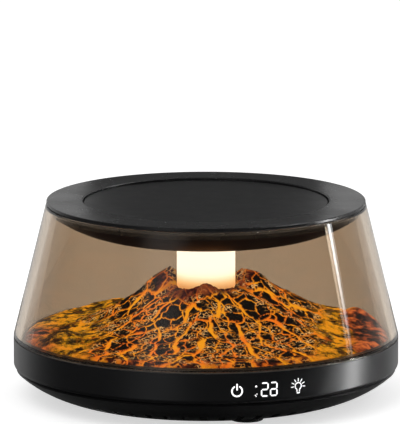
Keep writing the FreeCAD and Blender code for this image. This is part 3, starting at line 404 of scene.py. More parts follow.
def vein_glow(finish, glow, brook, river):
    """Side veins and main veins over the plates, hottest along their middle."""
    hot = finish.mix(patchy(finish, *VEIN_TINTS), *VEIN_GLOWS)
    glow = finish.mix(brook, glow, finish.mix(brook, BROOK_EDGE_GLOW, hot))
    return finish.mix(river, glow, finish.mix(river, RIVER_EDGE_GLOW, hot))


def bank_glow(finish, glow, place, scree, field):
    """Yellow flats, dull red banks and the crater's dark edge over the plates and veins."""
    crumbs = finish.noise(place, *CRUMBS).outputs["Fac"]
    rough = finish.weighted((scree, SCREE_SHARE), (crumbs, 1 - SCREE_SHARE))
    banks = finish.weighted((field["streak"], STREAK_SHARE), (rough, 1 - STREAK_SHARE))
    cover = {name: finish.math("MULTIPLY", field[name], most) for name, most in COVERS.items()}
    glow = finish.mix(cover["flats"], glow, finish.ramp(banks, FLAT_COLOURS))
    dull = finish.mix(cover["crest"], finish.ramp(banks, BANK_COLOURS), CRATER_GLOW)
    return finish.mix(cover["ember"], glow, dull)


def lava_finish():
    """Black rock plates with glowing cracks, yellow flats and dull red banks."""
    finish = Finish("lava_rock", Specular_IOR_Level=LAVA_SHEEN)
    field = {name: finish.add("Attribute", attribute_name=name).outputs["Fac"]
             for name in ("river", "brook", "streak", "flats", "ember", "crest", "shore")}
    place = swayed_place(finish)
    scree = finish.noise(place, *SCREE).outputs["Fac"]
    glow = vein_glow(finish, plate_glow(finish, place), field["brook"], field["river"])
    glow = bank_glow(finish, glow, place, scree, field)
    finish.set("Base Color", finish.mix(scree, *ROCK_TONES))
    finish.set("Roughness", finish.ease(scree, *SCREE_SPAN, *ROCK_ROUGHNESS))
    # Painted shade along the landscape's front edge, in place of its glow
    finish.set("Emission Color", finish.mix(field["shore"], glow, PAINTED_SHORE_SHADE))
    finish.set("Emission Strength", LAVA_STRENGTH)
    finish.bump(scree, LAVA_RELIEF)
    return finish.material


def make_finishes():
    """One material for each slot of the record, and one more for the dish under the top, with the lava's
    red light painted into its black plastic.
    """
    made = {name: mottled(name, **look) for name, look in MOTTLED.items()}
    made["smoked_glass"] = glass_finish()
    made["rock"] = lava_finish()
    made["opal"] = opal_finish()
    made.update({name: glowing(name, **look) for name, look in GLOWING.items()})
    made.update({name: brushed(name, **look) for name, look in BRUSHED.items()})
    return made


# Pieces


def piece(name, points, faces, slot, *replaced):
    """A mesh that rides on the frame, in its slot's finish."""
    mesh = bpy.data.meshes.new(name)
    mesh.from_pydata(points, [], faces)
    mesh.validate()
    mesh.shade_smooth()
    mesh.set_sharp_from_angle(angle=SHARP_ANGLE)
    mesh.materials.append(finishes[slot])
    made = bpy.data.objects.new(name, mesh)
    bpy.context.scene.collection.objects.link(made)
    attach(made, "root")
    if replaced:
        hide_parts(*replaced)
    return made


def grid_faces(rings, sides):
    """Faces between rings of points, each joined to the next and the last to the first."""
    faces = []
    for ring in range(rings):
        here = ring * sides
        there = (ring + 1) % rings * sides
        for side in range(sides):
            beside = (side + 1) % sides
            faces.append((here + side, here + beside, there + beside, there + side))
    return faces


EVEN_WEIGHT = 100


def even_shading(made):
    """Keeps long flat faces flat beside their rounded edges."""
    weighted = made.modifiers.new("even_shading", "WEIGHTED_NORMAL")
    weighted.weight = EVEN_WEIGHT
    weighted.keep_sharp = True


def lathe(outline, sides=ROUND_SIDES):
    """Points and faces of a closed outline of (radius, height) turned about the middle."""
    turns = np.arange(sides) * 2 * math.pi / sides
    outline = np.array(outline)
    radius = outline[:, :1]
    points = np.stack([radius * np.cos(turns), radius * np.sin(turns),
                       np.repeat(outline[:, 1:], sides, axis=1)], axis=-1)
    return points.reshape(-1, 3).tolist(), grid_faces(len(outline), sides)


SIDE_PER_ROUND = 2.5


def soften(outline, amount, steps=3):
    """Rounds the corners of a closed outline, less where a side is short."""
    corners = [Vector(point) for point in outline]
    rounded = []
    for index, corner in enumerate(corners):
        before = corners[index - 1] - corner
        after = corners[(index + 1) % len(corners)] - corner
        reach = min(amount, before.length / SIDE_PER_ROUND, after.length / SIDE_PER_ROUND)
        start = corner + before.normalized() * reach
        end = corner + after.normalized() * reach
        for step in range(steps + 1):
            share = step / steps
            rounded.append(start * (1 - share) ** 2 + corner * 2 * share * (1 - share)
                           + end * share ** 2)
    return [tuple(point) for point in rounded]


SHADE_WALL = 3.0 * MM
SHADE_TOP_RADIUS = 58.1 * MM
LIP_STEP = 0.4 * MM
POLISHED_EDGE = 0.35 * MM


def make_shade():
    lip = SHADE_TOP_RADIUS - SHADE_WALL + LIP_STEP
    lean = (BASE_RADIUS - SHADE_TOP_RADIUS) / (shade_high.z - shade_low.z)
    outline = soften([
        (BASE_RADIUS - SHADE_WALL, shade_low.z),
        (BASE_RADIUS, shade_low.z),
        (SHADE_TOP_RADIUS, shade_high.z),
        (lip, shade_high.z),
        (lip, shade_high.z - LIP_STEP / lean),
    ], POLISHED_EDGE)
    shade = piece("shade_glass", *lathe(outline), "smoked_glass", "smoked_shade")
    shade.visible_shadow = False
    even_shading(shade)


COLUMN_WALL = 1.6 * MM
COLUMN_EDGE = 0.2 * MM


def make_column():
    outline = soften([
        (COLUMN_RADIUS - COLUMN_WALL, column_low.z),
        (COLUMN_RADIUS, column_low.z),
        (COLUMN_RADIUS, column_high.z),
        (COLUMN_RADIUS - COLUMN_WALL, column_high.z),
    ], COLUMN_EDGE)
    even_shading(piece("glow_column", *lathe(outline), "opal", "light_column"))


# The landscape, in millimetres and degrees: the moulded shell's rule, with plates and cracks

CRATER_RADIUS = 13.5
CRATER_DROP = 1.3
CRATER_HEIGHT = 43.8
PLAIN_HEIGHT = 24.3
SLOPE_POWER = 1.95
SLOPE_LEAN = 4.0
SPURS = 7
SPUR_SWELL = 2.2
GULLIES = 12
GULLY_SWELL = 1.2
GULLY_LEAD = 57.3
CREST_SWAY = 1.3
CREST_LEAN = 0.4
CREST_NOTCH = 1.4
LIP_HEIGHT = 41.2
LIP_MOUND = 2.2
LIP_SPREAD = 17
LIP_ENDS = (62, 84)
SHOULDER_HEIGHT = 1.7
SHOULDER_PLACE = 19.5
SHOULDER_SPREAD = 4.0
MOUNDS = [(186, 0.9), (-10, 1.2), (108, 0.4)]
MOUND_HEIGHT = 4.0
MOUND_SPREAD = 5.0
MOUND_INSET = 9.5
LAND_EDGE = LAND_RADIUS / MM
THROAT = COLUMN_RADIUS / MM + 0.3


def step_up(value, start, end):
    """A smooth step from 0 at start to 1 at end."""
    share = np.clip((value - start) / (end - start), 0, 1)
    return share * share * (3 - 2 * share)


def off_front(angle):
    """Degrees round the middle from the front, as the camera sees it."""
    return np.abs((np.degrees(angle - AZIMUTH - FRONT) + 180) % 360 - 180)


def crest_height(turned, aside):
    """Height of the crater's edge, lower in front of the column."""
    crest = (CRATER_HEIGHT + CREST_SWAY * np.cos(2 * turned) - CREST_LEAN * np.cos(turned)
             + CREST_NOTCH * np.cos(SPURS * (turned - FRONT)))
    lip = LIP_HEIGHT + LIP_MOUND * np.exp(-(aside / LIP_SPREAD) ** 2)
    return lip + (crest - lip) * step_up(aside, *LIP_ENDS)


def land_height(radius, angle):
    """Height of the smooth landscape: crater, spurs, gullies, shoulder and foothills."""
    turned = angle - AZIMUTH
    aside = off_front(angle)
    crest = crest_height(turned, aside)
    inward = (CRATER_RADIUS - radius) / (CRATER_RADIUS - THROAT)
    share = np.clip((radius - CRATER_RADIUS) / (LAND_EDGE - CRATER_RADIUS), 0, 1)
    gullies = np.cos(GULLIES * (turned - FRONT) + math.radians(GULLY_LEAD))
    swell = (SPUR_SWELL * np.cos(SPURS * (turned - FRONT)) + GULLY_SWELL * gullies
             + SLOPE_LEAN * np.cos(turned))
    shift = swell * np.sin(np.pi * share)
    down = np.clip(1 - share + shift / (LAND_EDGE - CRATER_RADIUS), 0, 1)
    slope = PLAIN_HEIGHT + (crest - PLAIN_HEIGHT) * down ** SLOPE_POWER
    level = np.where(radius < CRATER_RADIUS, crest - CRATER_DROP * inward, slope)
    shoulder = np.exp(-((radius - SHOULDER_PLACE) / SHOULDER_SPREAD) ** 2)
    level = level + SHOULDER_HEIGHT * shoulder * step_up(aside, *LIP_ENDS)
    for side, size in MOUNDS:
        place = LAND_EDGE - MOUND_INSET
        across = radius * np.cos(angle) - place * math.cos(math.radians(side))
        along = radius * np.sin(angle) - place * math.sin(math.radians(side))
        distance = np.hypot(across, along) / MOUND_SPREAD
        level = level + MOUND_HEIGHT * size * np.exp(-distance ** 2 / 2)
    return level


LATTICE = 256


def smooth_noise(u, v, seed, wrap=LATTICE):
    """Noise from 0 to 1 with a lump for each unit of u and v; v repeats after wrap units."""
    lattice = np.random.default_rng(seed).random((LATTICE, wrap))
    column = np.floor(u).astype(int)
    row = np.floor(v).astype(int)
    across = u - column
    along = v - row
    across = across * across * (3 - 2 * across)
    along = along * along * (3 - 2 * along)
    here, beside = column % LATTICE, (column + 1) % LATTICE
    low, high = row % wrap, (row + 1) % wrap
    near = lattice[here, low] * (1 - across) + lattice[beside, low] * across
    far = lattice[here, high] * (1 - across) + lattice[beside, high] * across
    return near * (1 - along) + far * along


FIRST_RING = CRATER_RADIUS - 1
LAST_RING = LAND_EDGE + 10


def ring_middles(width, growth, lengthening, jitter, seed):
    """Middles of cracked plates, in rings that widen away from the crater."""
    chance = np.random.default_rng(seed)
    middles = []
    ring = FIRST_RING
    while ring < LAST_RING:
        wide = width + growth * (ring - CRATER_RADIUS)
        count = round(2 * math.pi * ring / wide)
        angle = (np.arange(count) + chance.uniform(-jitter, jitter, count)) * 2 * math.pi / count
        angle += chance.uniform(0, 2 * math.pi)
        radius = ring + chance.uniform(-jitter, jitter, count) * wide
        middles.append(np.stack([radius * np.cos(angle), radius * np.sin(angle)], axis=-1))
        ring += wide * lengthening
    return np.concatenate(middles).astype(np.float32)


def crack_distance(x, y, middles):
    """Distance to the nearest border between plates, and how far it runs downhill, 0 to 1."""
    edge = np.empty(x.shape, np.float32)
    downhill = np.empty(x.shape, np.float32)
    for row in range(len(x)):
        here = np.stack([x[row], y[row]], axis=-1).astype(np.float32)
        away = np.linalg.norm(here[:, None, :] - middles[None, :, :], axis=-1)
        nearest = np.argpartition(away, 1, axis=1)[:, :2]
        pair = np.take_along_axis(away, nearest, axis=1)
        gap = middles[nearest[:, 1]] - middles[nearest[:, 0]]
        span = np.linalg.norm(gap, axis=-1)
        edge[row] = np.abs(pair[:, 1] ** 2 - pair[:, 0] ** 2) / (2 * span)
        outward = here / np.linalg.norm(here, axis=-1, keepdims=True)
        downhill[row] = np.maximum(1 - np.abs((gap / span[:, None] * outward).sum(axis=-1)), 0)
    return edge, downhill


def bend(x, y, amounts, seed):
    """Moves places sideways by noise of several sizes, given as (lump, amount) in millimetres."""
    moved_x, moved_y = x.copy(), y.copy()
    for index, (lump, amount) in enumerate(amounts):
        moved_x += amount * (smooth_noise(x / lump, y / lump, seed + 2 * index) - 0.5)
        moved_y += amount * (smooth_noise(x / lump, y / lump, seed + 2 * index + 1) - 0.5)
    return moved_x, moved_y


# Plates as (width, growth, length to width, unevenness), bends as (lump, amount), layers' share first

RIVER_PLATES = (9.6, 0.0, 1.3, 0.28)
RIVER_BENDS = ((9.0, 4.0), (3.5, 1.6), (1.3, 0.7))
RIVER_WIDTH = 0.24
RIVER_SWELL = 0.54
RIVER_POWER = 1.5
RIVER_EDGE = (0.8, 1.4)
BROOK_PLATES = (5.3, 0.012, 1.0, 0.40)
BROOK_BENDS = ((4.0, 1.8), (1.5, 0.9), (0.8, 0.4))
BROOK_WIDTH = 0.17
BROOK_SWELL = 0.15
BROOK_THINNEST = 0.45
BROOK_LUMP = 3
BROOK_EDGE = (0.7, 1.5)
STRANDS = 128
STRAND_LAYERS = ((0.55, 9.0, 1), (0.30, 3.2, 2), (0.15, 1.2, 3))
LUMP_LAYERS = ((0.55, 3.6), (0.30, 1.7), (0.15, 0.8))
GRIT_LAYERS = ((0.5, 3.2), (0.3, 1.0))
LUMP_SHARE = 0.7
RAGGED_LUMP = 7
RAGGED_AMOUNT = 10
RIM_LUMP = 1.8
SEEDS = {"river_plates": 7, "brook_plates": 8, "river_bend": 41, "brook_bend": 51,
         "brook_width": 61, "rim": 62, "strands": 71, "lumps": 74, "ragged": 81, "grit": 91}


def vein_fields(x, y):
    """Main veins and side veins, wider where they run downhill, and the bent places of these."""
    bent = bend(x, y, RIVER_BENDS, SEEDS["river_bend"])
    plates = ring_middles(*RIVER_PLATES, SEEDS["river_plates"])
    border, downhill = crack_distance(*bent, plates)
    width = RIVER_WIDTH + RIVER_SWELL * downhill ** RIVER_POWER
    river = 1 - step_up(border / width, *RIVER_EDGE)
    bent = bend(x, y, BROOK_BENDS, SEEDS["brook_bend"])
    plates = ring_middles(*BROOK_PLATES, SEEDS["brook_plates"])
    border, downhill = crack_distance(*bent, plates)
    uneven = BROOK_THINNEST + smooth_noise(x / BROOK_LUMP, y / BROOK_LUMP, SEEDS["brook_width"])
    width = (BROOK_WIDTH + BROOK_SWELL * downhill) * uneven
    brook = 1 - step_up(border / width, *BROOK_EDGE)
    return river, brook, bent


def streak_field(radius, angle, bent):
    """Texture of the flats and banks: lumps, and strands that run downhill."""
    turn = (angle - AZIMUTH - FRONT) / (2 * math.pi) * STRANDS + 0 * radius
    strands = sum(share * smooth_noise(radius / length, fold * turn, SEEDS["strands"] + layer,
                                       fold * STRANDS)
                  for layer, (share, length, fold) in enumerate(STRAND_LAYERS))
    lumps = sum(share * smooth_noise(bent[0] / lump, bent[1] / lump, SEEDS["lumps"] + layer)
                for layer, (share, lump) in enumerate(LUMP_LAYERS))
    return (1 - LUMP_SHARE) * strands + LUMP_SHARE * lumps


# Where the looks change, as (start, end) in mm from the middle, mm of height or degrees off the front

FLAT_HEIGHTS = (28.0, 33.5)
FLAT_SIDES = (34, 46)
FLAT_REAR = (2, 20)
LEFT_BANK = (46, 60)
LEFT_BANK_FRONT = (-14, 6)
RIGHT_BANK = (49, 56)
RIM = (59, 63.5)
CREST = (15, 18.5)
CREST_TURNS = (45, 75)
SHORE = (LAND_EDGE - 1.0, LAND_EDGE - 0.3)
SHORE_TURNS = (35, 60)

# How ragged and how strong the rim and the crest are, and the noise that makes the rim's spots

RIM_RAGGED = 0.4
RIM_EMBER = 0.2
RIM_SPOTS = (0.52, 0.66)
RIM_SPOT_SHARE = 0.75
CREST_RAGGED = 0.5
CREST_FADE = 0.45


def land_fields(x, y, radius, angle, level):
    """Fields from 0 to 1 over the landscape that its finish is mixed from."""
    across = x * SIDEWAYS.x + y * SIDEWAYS.y
    behind = -(x * TOWARDS_CAMERA.x + y * TOWARDS_CAMERA.y)
    aside = off_front(angle)
    river, brook, bent = vein_fields(x, y)
    streak = streak_field(radius, angle, bent)

    low = 1 - step_up(level, *FLAT_HEIGHTS)
    ragged = smooth_noise(x / RAGGED_LUMP, y / RAGGED_LUMP, SEEDS["ragged"])
    ragged = RAGGED_AMOUNT * (ragged - 0.5)
    flats = low * np.maximum(step_up(np.abs(across) + ragged, *FLAT_SIDES),
                             step_up(behind + ragged, *FLAT_REAR))
    left_bank = step_up(-across + ragged, *LEFT_BANK) * step_up(-behind, *LEFT_BANK_FRONT)
    right_bank = step_up(across + ragged, *RIGHT_BANK)
    rim = step_up(radius + RIM_RAGGED * ragged, *RIM)
    spots = step_up(smooth_noise(x / RIM_LUMP, y / RIM_LUMP, SEEDS["rim"]), *RIM_SPOTS)
    brook = np.maximum(brook, RIM_SPOT_SHARE * rim * spots)
    crest = 1 - step_up(radius + CREST_RAGGED * ragged, *CREST)
    crest = crest * (1 - CREST_FADE * step_up(aside, *CREST_TURNS))
    ember = np.maximum.reduce([left_bank, right_bank, RIM_EMBER * rim, crest])
    # The front edge, where painted shade takes the place of the glow, on the camera's side only
    shore = step_up(radius, *SHORE) * (1 - step_up(aside, *SHORE_TURNS))
    return {"river": river, "brook": brook, "streak": streak, "flats": flats, "ember": ember,
            "crest": crest, "shore": shore}


LAND_SIDES = 900
LAND_STEP = 0.36
CRATER_RINGS = 9
UNDER_RINGS = 9
LAND_WALL = 2.0
UNDER_SPARE = 0.8
UNDER_LOWEST = 0.25
CRACK_DEPTH = 0.35
BROOK_DEPTH_SHARE = 0.6
FLATS_FILLED = 0.6
CRAG_HEIGHT = 0.9
CALM_WIDTH = 1.5
SHORE_WIDTH = 3.2
SHORE_DROP = 1.7


def weathered(level, x, y, radius, fields):
    """Adds grit, sunk cracks and crags, none of them at the edge, and rounds the shore."""
    grit = sum(amount * (smooth_noise(x / lump, y / lump, SEEDS["grit"] + layer) - 0.5)
               for layer, (amount, lump) in enumerate(GRIT_LAYERS))
    sunk = (CRACK_DEPTH * np.maximum(fields["river"], BROOK_DEPTH_SHARE * fields["brook"])
            * (1 - FLATS_FILLED * fields["flats"]))
    crags = CRAG_HEIGHT * fields["ember"] * (fields["streak"] - 0.5)
    level = level + (grit - sunk + crags) * step_up(LAND_EDGE - radius, 0, CALM_WIDTH)
    return level - SHORE_DROP * np.clip(1 - (LAND_EDGE - radius) / SHORE_WIDTH, 0, 1) ** 2


def make_land():
    deck = DECK / MM
    outside = np.concatenate([np.linspace(THROAT, CRATER_RADIUS, CRATER_RINGS)[:-1],
                              np.arange(CRATER_RADIUS, LAND_EDGE, LAND_STEP), [LAND_EDGE]])
    angle = np.arange(LAND_SIDES)[None, :] * 2 * math.pi / LAND_SIDES
    radius = outside[:, None] * np.ones_like(angle)
    x = radius * np.cos(angle)
    y = radius * np.sin(angle)
    level = land_height(radius, angle)
    fields = land_fields(x, y, radius, angle, level)
    level = weathered(level, x, y, radius, fields)

    inner = np.linspace(LAND_EDGE - LAND_WALL, THROAT + LAND_WALL, UNDER_RINGS)
    under = land_height(inner[:, None] * np.ones_like(angle), angle) - LAND_WALL - UNDER_SPARE
    under = np.maximum(under, deck + UNDER_LOWEST)
    foot = np.full(LAND_SIDES, deck)
    rings = [*zip(outside, level), (LAND_EDGE, foot), (LAND_EDGE - LAND_WALL, foot),
             *zip(inner, under), (THROAT + LAND_WALL, foot), (THROAT, foot)]
    points = np.concatenate([
        np.stack([ring * np.cos(angle[0]), ring * np.sin(angle[0]), height], axis=-1)
        for ring, height in rings]) * MM
    land = piece("lava_landscape", points.tolist(), grid_faces(len(rings), LAND_SIDES), "rock",
                 "volcano")
    land.visible_glossy = False
    for name, values in fields.items():
        every = np.zeros(len(points), np.float32)
        every[:values.size] = values.ravel()
        every[values.size:values.size + LAND_SIDES] = values[-1]
        land.data.attributes.new(name, "FLOAT", "POINT").data.foreach_set("value", every)


# Signs on the band, drawn in millimetres along (u) and up (v) from the middle of each


SIGN_PROUD = 0.03 * MM
SIGN_DEPTH = 0.25 * MM
SPRING_RADIUS = 2.6
SIGN_ARC = math.asin(spring_high.x / BASE_RADIUS) * BASE_RADIUS / MM - SPRING_RADIUS


def ribbon(line, width, steps=6):
    """Outline of a stroke with round ends along a line of (u, v) points."""
    line = [Vector(point) for point in line]
    left, right = [], []
    for index, here in enumerate(line):
        before = line[max(index - 1, 0)]
        after = line[min(index + 1, len(line) - 1)]
        along = (after - before).normalized()
        across = Vector((-along.y, along.x)) * width / 2
        left.append(here + across)
        right.append(here - across)

    def cap(middle, along):
        across = Vector((-along.y, along.x))
        return [middle + (across * math.cos(math.pi * n / steps)
                          + along * math.sin(math.pi * n / steps)) * width / 2
                for n in range(1, steps)]

    end = cap(line[-1], (line[-1] - line[-2]).normalized())
    start = cap(line[0], (line[0] - line[1]).normalized())
    return left, end, right, start


def stroke_mesh(line, width):
    """Front and back points of a closed thin stroke, as (u, v, depth), and its faces."""
    left, end, right, start = ribbon(line, width)
    outline = left + end + right[::-1] + start
    count = len(outline)
    points = [(u, v, 0) for u, v in outline] + [(u, v, 1) for u, v in outline]
    faces = [(n, count + n, count + (n + 1) % count, (n + 1) % count) for n in range(count)]
    runs = len(left) - 1
    last = len(left) + len(end)
    right_at = [last + len(right) - 1 - n for n in range(len(right))]
    fronts = [(n, n + 1, right_at[n + 1], right_at[n]) for n in range(runs)]
    fronts.append(tuple([len(left) - 1, *range(len(left), last), right_at[-1]]))
    fronts.append(tuple([right_at[0], *range(last + len(right), count), 0]))
    backs = [tuple(count + n for n in reversed(face)) for face in fronts]
    return points, faces + fronts + backs


def polygon_mesh(outline):
    """The same for a flat polygon."""
    count = len(outline)
    points = [(u, v, 0) for u, v in outline] + [(u, v, 1) for u, v in outline]
    faces = [(n, count + n, count + (n + 1) % count, (n + 1) % count) for n in range(count)]
    return points, faces + [tuple(range(count)), tuple(reversed(range(count, 2 * count)))]


def circle_line(u, v, radius, start, end, steps=28):
    """Points on an arc, with angles in degrees from +u."""
    return [(u + radius * math.cos(math.radians(start + (end - start) * n / steps)),
             v + radius * math.sin(math.radians(start + (end - start) * n / steps)))
            for n in range(steps + 1)]


def place_sign(name, drawn, arc):
    """Wraps drawn parts onto the band round a middle that lies arc millimetres along it."""
    points, faces = [], []
    for part_points, part_faces in drawn:
        faces += [tuple(len(points) + n for n in face) for face in part_faces]
        for u, v, depth in part_points:
            turn = FRONT + (arc + u) * MM / BASE_RADIUS
            radius = BASE_RADIUS + SIGN_PROUD - depth * SIGN_DEPTH
            points.append((radius * math.cos(turn), radius * math.sin(turn), SIGN_HEIGHT + v * MM))
    return piece(name, points, faces, "sign_light")


POWER_RADIUS = 1.85
POWER_LOW = 0.15
POWER_STROKE = 0.54
POWER_OPENING = (122, 418)
POWER_BAR = [(0, 2.3), (0, 0.35)]


def power_sign():
    ring = circle_line(0, -POWER_LOW, POWER_RADIUS, *POWER_OPENING)
    return [stroke_mesh(ring, POWER_STROKE), stroke_mesh(POWER_BAR, POWER_STROKE)]


BULB_MIDDLE = 0.25
BULB_RADIUS = 1.22
BULB_STROKE = 0.36
BULB_OPENING = (-52, 232)
NECK_HALF = 0.5
NECK_TOP = -1.05
NECK_END = -1.65
CAP_LINE = [(-0.42, -2.2), (0.42, -2.2)]
CAP_STROKE = 0.42
BEAMS = 7
BEAM_FIRST = -6
BEAM_SPACING = 32
BEAM_REACH = (1.78, 2.75)
BEAM_STROKE = 0.3


def bulb_sign():
    bowl = circle_line(0, BULB_MIDDLE, BULB_RADIUS, *BULB_OPENING)
    outline = [(NECK_HALF, NECK_END), (NECK_HALF, NECK_TOP), *bowl, (-NECK_HALF, NECK_TOP),
               (-NECK_HALF, NECK_END)]
    parts = [stroke_mesh(outline, BULB_STROKE), stroke_mesh(CAP_LINE, CAP_STROKE)]
    for beam in range(BEAMS):
        turn = math.radians(BEAM_FIRST + beam * BEAM_SPACING)
        line = [(reach * math.cos(turn), BULB_MIDDLE + reach * math.sin(turn))
                for reach in BEAM_REACH]
        parts.append(stroke_mesh(line, BEAM_STROKE))
    return parts


DIGIT_WIDE = 2.9
DIGIT_TALL = 5.2
BAR = 0.52
BAR_GAP = 0.12
DIGITS = ((-1.4, "abged"), (1.95, "abcdeg"))
MARKS = ((-4.6, 1.3, 0.36), (-4.9, -1.9, 0.2), (-4.3, -1.5, 0.2), (-4.6, -2.3, 0.2))
MARK_CORNERS = 24


def digit_parts(middle, lit):
    """Seven-segment digit: bars a to g, pointed at both ends."""
    half_wide = (DIGIT_WIDE - BAR) / 2
    half_tall = (DIGIT_TALL - BAR) / 2

    def bar(start, end):
        begin, finish = Vector(start), Vector(end)
        along = (finish - begin).normalized()
        across = Vector((-along.y, along.x)) * BAR / 2
        begin += along * BAR_GAP
        finish -= along * BAR_GAP
        tip = along * BAR / 2
        outline = [begin, begin + tip - across, finish - tip - across, finish,
                   finish - tip + across, begin + tip + across]
        return polygon_mesh([(middle + point.x, point.y) for point in outline])

    ends = {
        "a": ((-half_wide, half_tall), (half_wide, half_tall)),
        "b": ((half_wide, 0), (half_wide, half_tall)),
        "c": ((half_wide, -half_tall), (half_wide, 0)),
        "d": ((-half_wide, -half_tall), (half_wide, -half_tall)),
        "e": ((-half_wide, -half_tall), (-half_wide, 0)),
        "f": ((-half_wide, 0), (-half_wide, half_tall)),
        "g": ((-half_wide, 0), (half_wide, 0)),
    }
    return [bar(*ends[letter]) for letter in lit]


def mark(u, v, radius):
    last = 360 - 360 / MARK_CORNERS
    return polygon_mesh(circle_line(u, v, radius, 0, last, MARK_CORNERS - 1))


def make_signs():
    place_sign("power_sign", power_sign(), -SIGN_ARC)
    place_sign("bulb_sign", bulb_sign(), SIGN_ARC)
    digits = [part for middle, lit in DIGITS for part in digit_parts(middle, lit)]
    place_sign("shown_digits", digits, 0)
    place_sign("shown_marks", [mark(*numbers) for numbers in MARKS], 0)


# Frame pieces that stay: their facets welded and evenly shaded, and their finishes

WELD_GAP = 0.001 * MM
FRAME_WEIGHT = 50


def dress_frame():
    slots = {row["node"]: row["material_slot"] for row in frame["record"]["subparts"]}
    # The dish under the top gets the finish with the lava's red glow painted in
    slots["ceiling_dish"] = "lava_lit_ceiling"
    for name, node in frame["nodes"].items():
        node.modifiers.new("weld", "WELD").merge_threshold = WELD_GAP
        node.modifiers.new("split", "EDGE_SPLIT").split_angle = SHARP_ANGLE
        node.modifiers.new("weighted", "WEIGHTED_NORMAL").weight = FRAME_WEIGHT
        node.data.materials.clear()
        node.data.materials.append(finishes[slots[name]])


# Stage and light

FLOOR_SIZE = 12.0
FLOOR_TONES = (tone(222, 222, 222), tone(226, 226, 226))
FLOOR_GRAINS = 400.0
FLOOR_ROUGHNESS = 0.9
FLOOR_SHOWN = 0.6


def make_floor():
    mesh = bpy.data.meshes.new("floor")
    half = FLOOR_SIZE / 2
    mesh.from_pydata([(-half, -half, 0), (half, -half, 0), (half, half, 0), (-half, half, 0)], [],
                     [(0, 1, 2, 3)])
    floor = bpy.data.objects.new("floor", mesh)
    bpy.context.scene.collection.objects.link(floor)
    floor.visible_glossy = False
    finish = Finish("pale_floor", Roughness=FLOOR_ROUGHNESS, Specular_IOR_Level=0.0)
    path = finish.add("LightPath").outputs
    seen = finish.most(path["Is Camera Ray"], path["Is Transmission Ray"])
    grain = finish.noise(finish.place, FLOOR_GRAINS).outputs["Fac"]
    finish.set("Base Color", finish.mix(grain, *FLOOR_TONES))
    finish.set("Emission Color", (1, 1, 1, 1))
    finish.set("Emission Strength", finish.math("MULTIPLY", seen, FLOOR_SHOWN))
    mesh.materials.append(finish.material)


# The room that gloss shows: turns in degrees, rises from -1 to 1, boxes as (middle, half, soft, strength)

WORLD_GREY = 0.55
REAR_TURNS = (100, 150)
REAR_LEVELS = (0.05, 0.55)
MIDDLE_TURNS = (160, 174)
MIDDLE_DIM = 0.46
FRONT_BOX = (-30, 13, 10, 0.35)
TALL_BOX = (97.5, 2.4, 1.0, 34.0)
STREAK_BOXES = ((98.1, 1.2, 0.9, 27.0), (100.4, 0.4, 0.4, 14.0))
THIN_BOX = (111, 0.6, 0.6, 12.0)
TALL_TOP = (-0.02, 0.04)
STREAK_FOOT = (0.108, 0.142)
THIN_FOOT = (0.128, 0.146)
ROOM_FOOT = (-0.62, -0.25)
ROOM_FOOT_LEVEL = 0.08


def studio_room(nodes, ray):
    """Brightness of the room in a direction."""
    turn = nodes.math("ARCTAN2", nodes.dot(ray, SIDEWAYS), nodes.dot(ray, TOWARDS_CAMERA))
    side = nodes.math("ABSOLUTE", turn)
    rise = nodes.add("SeparateXYZ", {"Vector": ray}).outputs["Z"]

    def turned(turns, *levels):
        return nodes.ease(side, *(math.radians(angle) for angle in turns), *levels)

    def box(middle, half, soft, strength):
        away = nodes.math("ABSOLUTE", nodes.math("SUBTRACT", turn, math.radians(middle)))
        return nodes.ease(away, math.radians(half + soft), math.radians(half - soft), 0.0, strength)

    rear = nodes.math("ADD", turned(REAR_TURNS, *REAR_LEVELS),
                      turned(MIDDLE_TURNS, 0.0, -MIDDLE_DIM))
    room = nodes.math("ADD", nodes.most(rear, 0.0), box(*FRONT_BOX))
    tall = nodes.math("MULTIPLY", box(*TALL_BOX), nodes.ease(rise, *reversed(TALL_TOP)))
    streaks = nodes.math("ADD", *(box(*numbers) for numbers in STREAK_BOXES))
    streaks = nodes.math("MULTIPLY", streaks, nodes.ease(rise, *STREAK_FOOT))
    thin = nodes.math("MULTIPLY", box(*THIN_BOX), nodes.ease(rise, *THIN_FOOT))
    for lights in (tall, streaks, thin):
        room = nodes.math("ADD", room, lights)
    return nodes.math("MULTIPLY", room, nodes.ease(rise, *ROOM_FOOT, ROOM_FOOT_LEVEL, 1.0))


def make_world():
    """White behind the object and straight through its glass; to its gloss, the room."""
    world = bpy.data.worlds.new("studio")
    world.use_nodes = True
    bpy.context.scene.world = world
    nodes = Nodes(world.node_tree)
    room = studio_room(nodes, nodes.add("TexCoord").outputs["Generated"])
    path = nodes.add("LightPath").outputs
    bounces = nodes.math("ADD", path["Glossy Depth"], path["Diffuse Depth"])
    straight = nodes.math("LESS_THAN", bounces, 0.5)
    clear = nodes.math("MULTIPLY", path["Is Transmission Ray"], straight)
    white = nodes.most(path["Is Camera Ray"], clear)
    gloss = nodes.most(path["Is Glossy Ray"], path["Is Transmission Ray"])
    light = nodes.weighted((gloss, room), (path["Is Diffuse Ray"], WORLD_GREY))
    rest = nodes.math("MULTIPLY", nodes.math("SUBTRACT", 1.0, white), light)
    background = world.node_tree.nodes["Background"]
    background.inputs["Color"].default_value = (1, 1, 1, 1)
    nodes.feed(background.inputs["Strength"], nodes.math("ADD", white, rest))


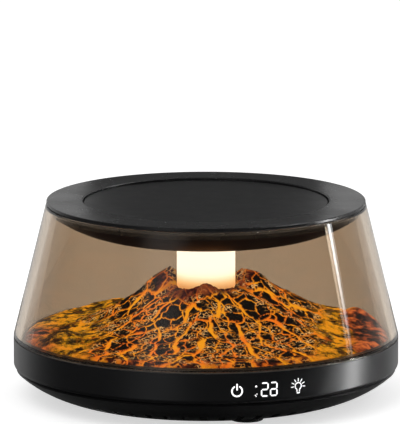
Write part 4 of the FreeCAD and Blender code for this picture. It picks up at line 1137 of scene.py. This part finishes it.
CARD_BEHIND = 160 * MM
CARD_INNER = 46 * MM
CARD_OUTER = 260 * MM
CARD_LOW = 10 * MM
CARD_TOP = 190 * MM
CARD_GLOW = 0.55
CARD_LUMPS = 40.0
CARD_TONES = ((0.96, 0.96, 0.96, 1), (1, 1, 1, 1))


def make_cards():
    """Two pale cards behind the object that only its gloss shows."""
    finish = Finish("reflector_card", Roughness=1.0)
    share = finish.noise(finish.place, CARD_LUMPS).outputs["Fac"]
    finish.set("Base Color", (0, 0, 0, 1))
    finish.set("Emission Color", finish.mix(share, *CARD_TONES))
    finish.set("Emission Strength", CARD_GLOW)
    for side, name in ((-1, "left_card"), (1, "right_card")):
        corners = []
        for reach, height in ((CARD_INNER, CARD_LOW), (CARD_OUTER, CARD_LOW),
                              (CARD_OUTER, CARD_TOP), (CARD_INNER, CARD_TOP)):
            corner = SIDEWAYS * side * reach - TOWARDS_CAMERA * CARD_BEHIND
            corners.append((corner.x, corner.y, height))
        mesh = bpy.data.meshes.new(name)
        mesh.from_pydata(corners, [], [(0, 1, 2, 3)])
        mesh.materials.append(finish.material)
        card = bpy.data.objects.new(name, mesh)
        bpy.context.scene.collection.objects.link(card)
        card.visible_camera = False
        card.visible_diffuse = False
        card.visible_transmission = False
        card.visible_shadow = False


# Lamps as (name, place, size, power)

LAMPS = (
    ("key_light", (-0.9, -0.7, 1.5), 1.4, 9.0),
    ("fill_light", (1.2, -0.5, 1.0), 1.2, 4.0),
)
LAMP_AIM = (0, 0, 0.04)


def make_lamp(name, place, size, power):
    data = bpy.data.lights.new(name, "AREA")
    data.shape = "DISK"
    data.size = size
    data.energy = power
    lamp = bpy.data.objects.new(name, data)
    bpy.context.scene.collection.objects.link(lamp)
    lamp.location = place
    lamp.rotation_euler = (Vector(place) - Vector(LAMP_AIM)).to_track_quat("Z", "Y").to_euler()
    lamp.visible_glossy = False
    lamp.visible_camera = False


finishes = make_finishes()
make_camera()
make_shade()
make_column()
make_land()
make_signs()
dress_frame()
make_floor()
make_world()
make_cards()
for numbers in LAMPS:
    make_lamp(*numbers)
bpy.context.scene.view_settings.view_transform = "Standard"
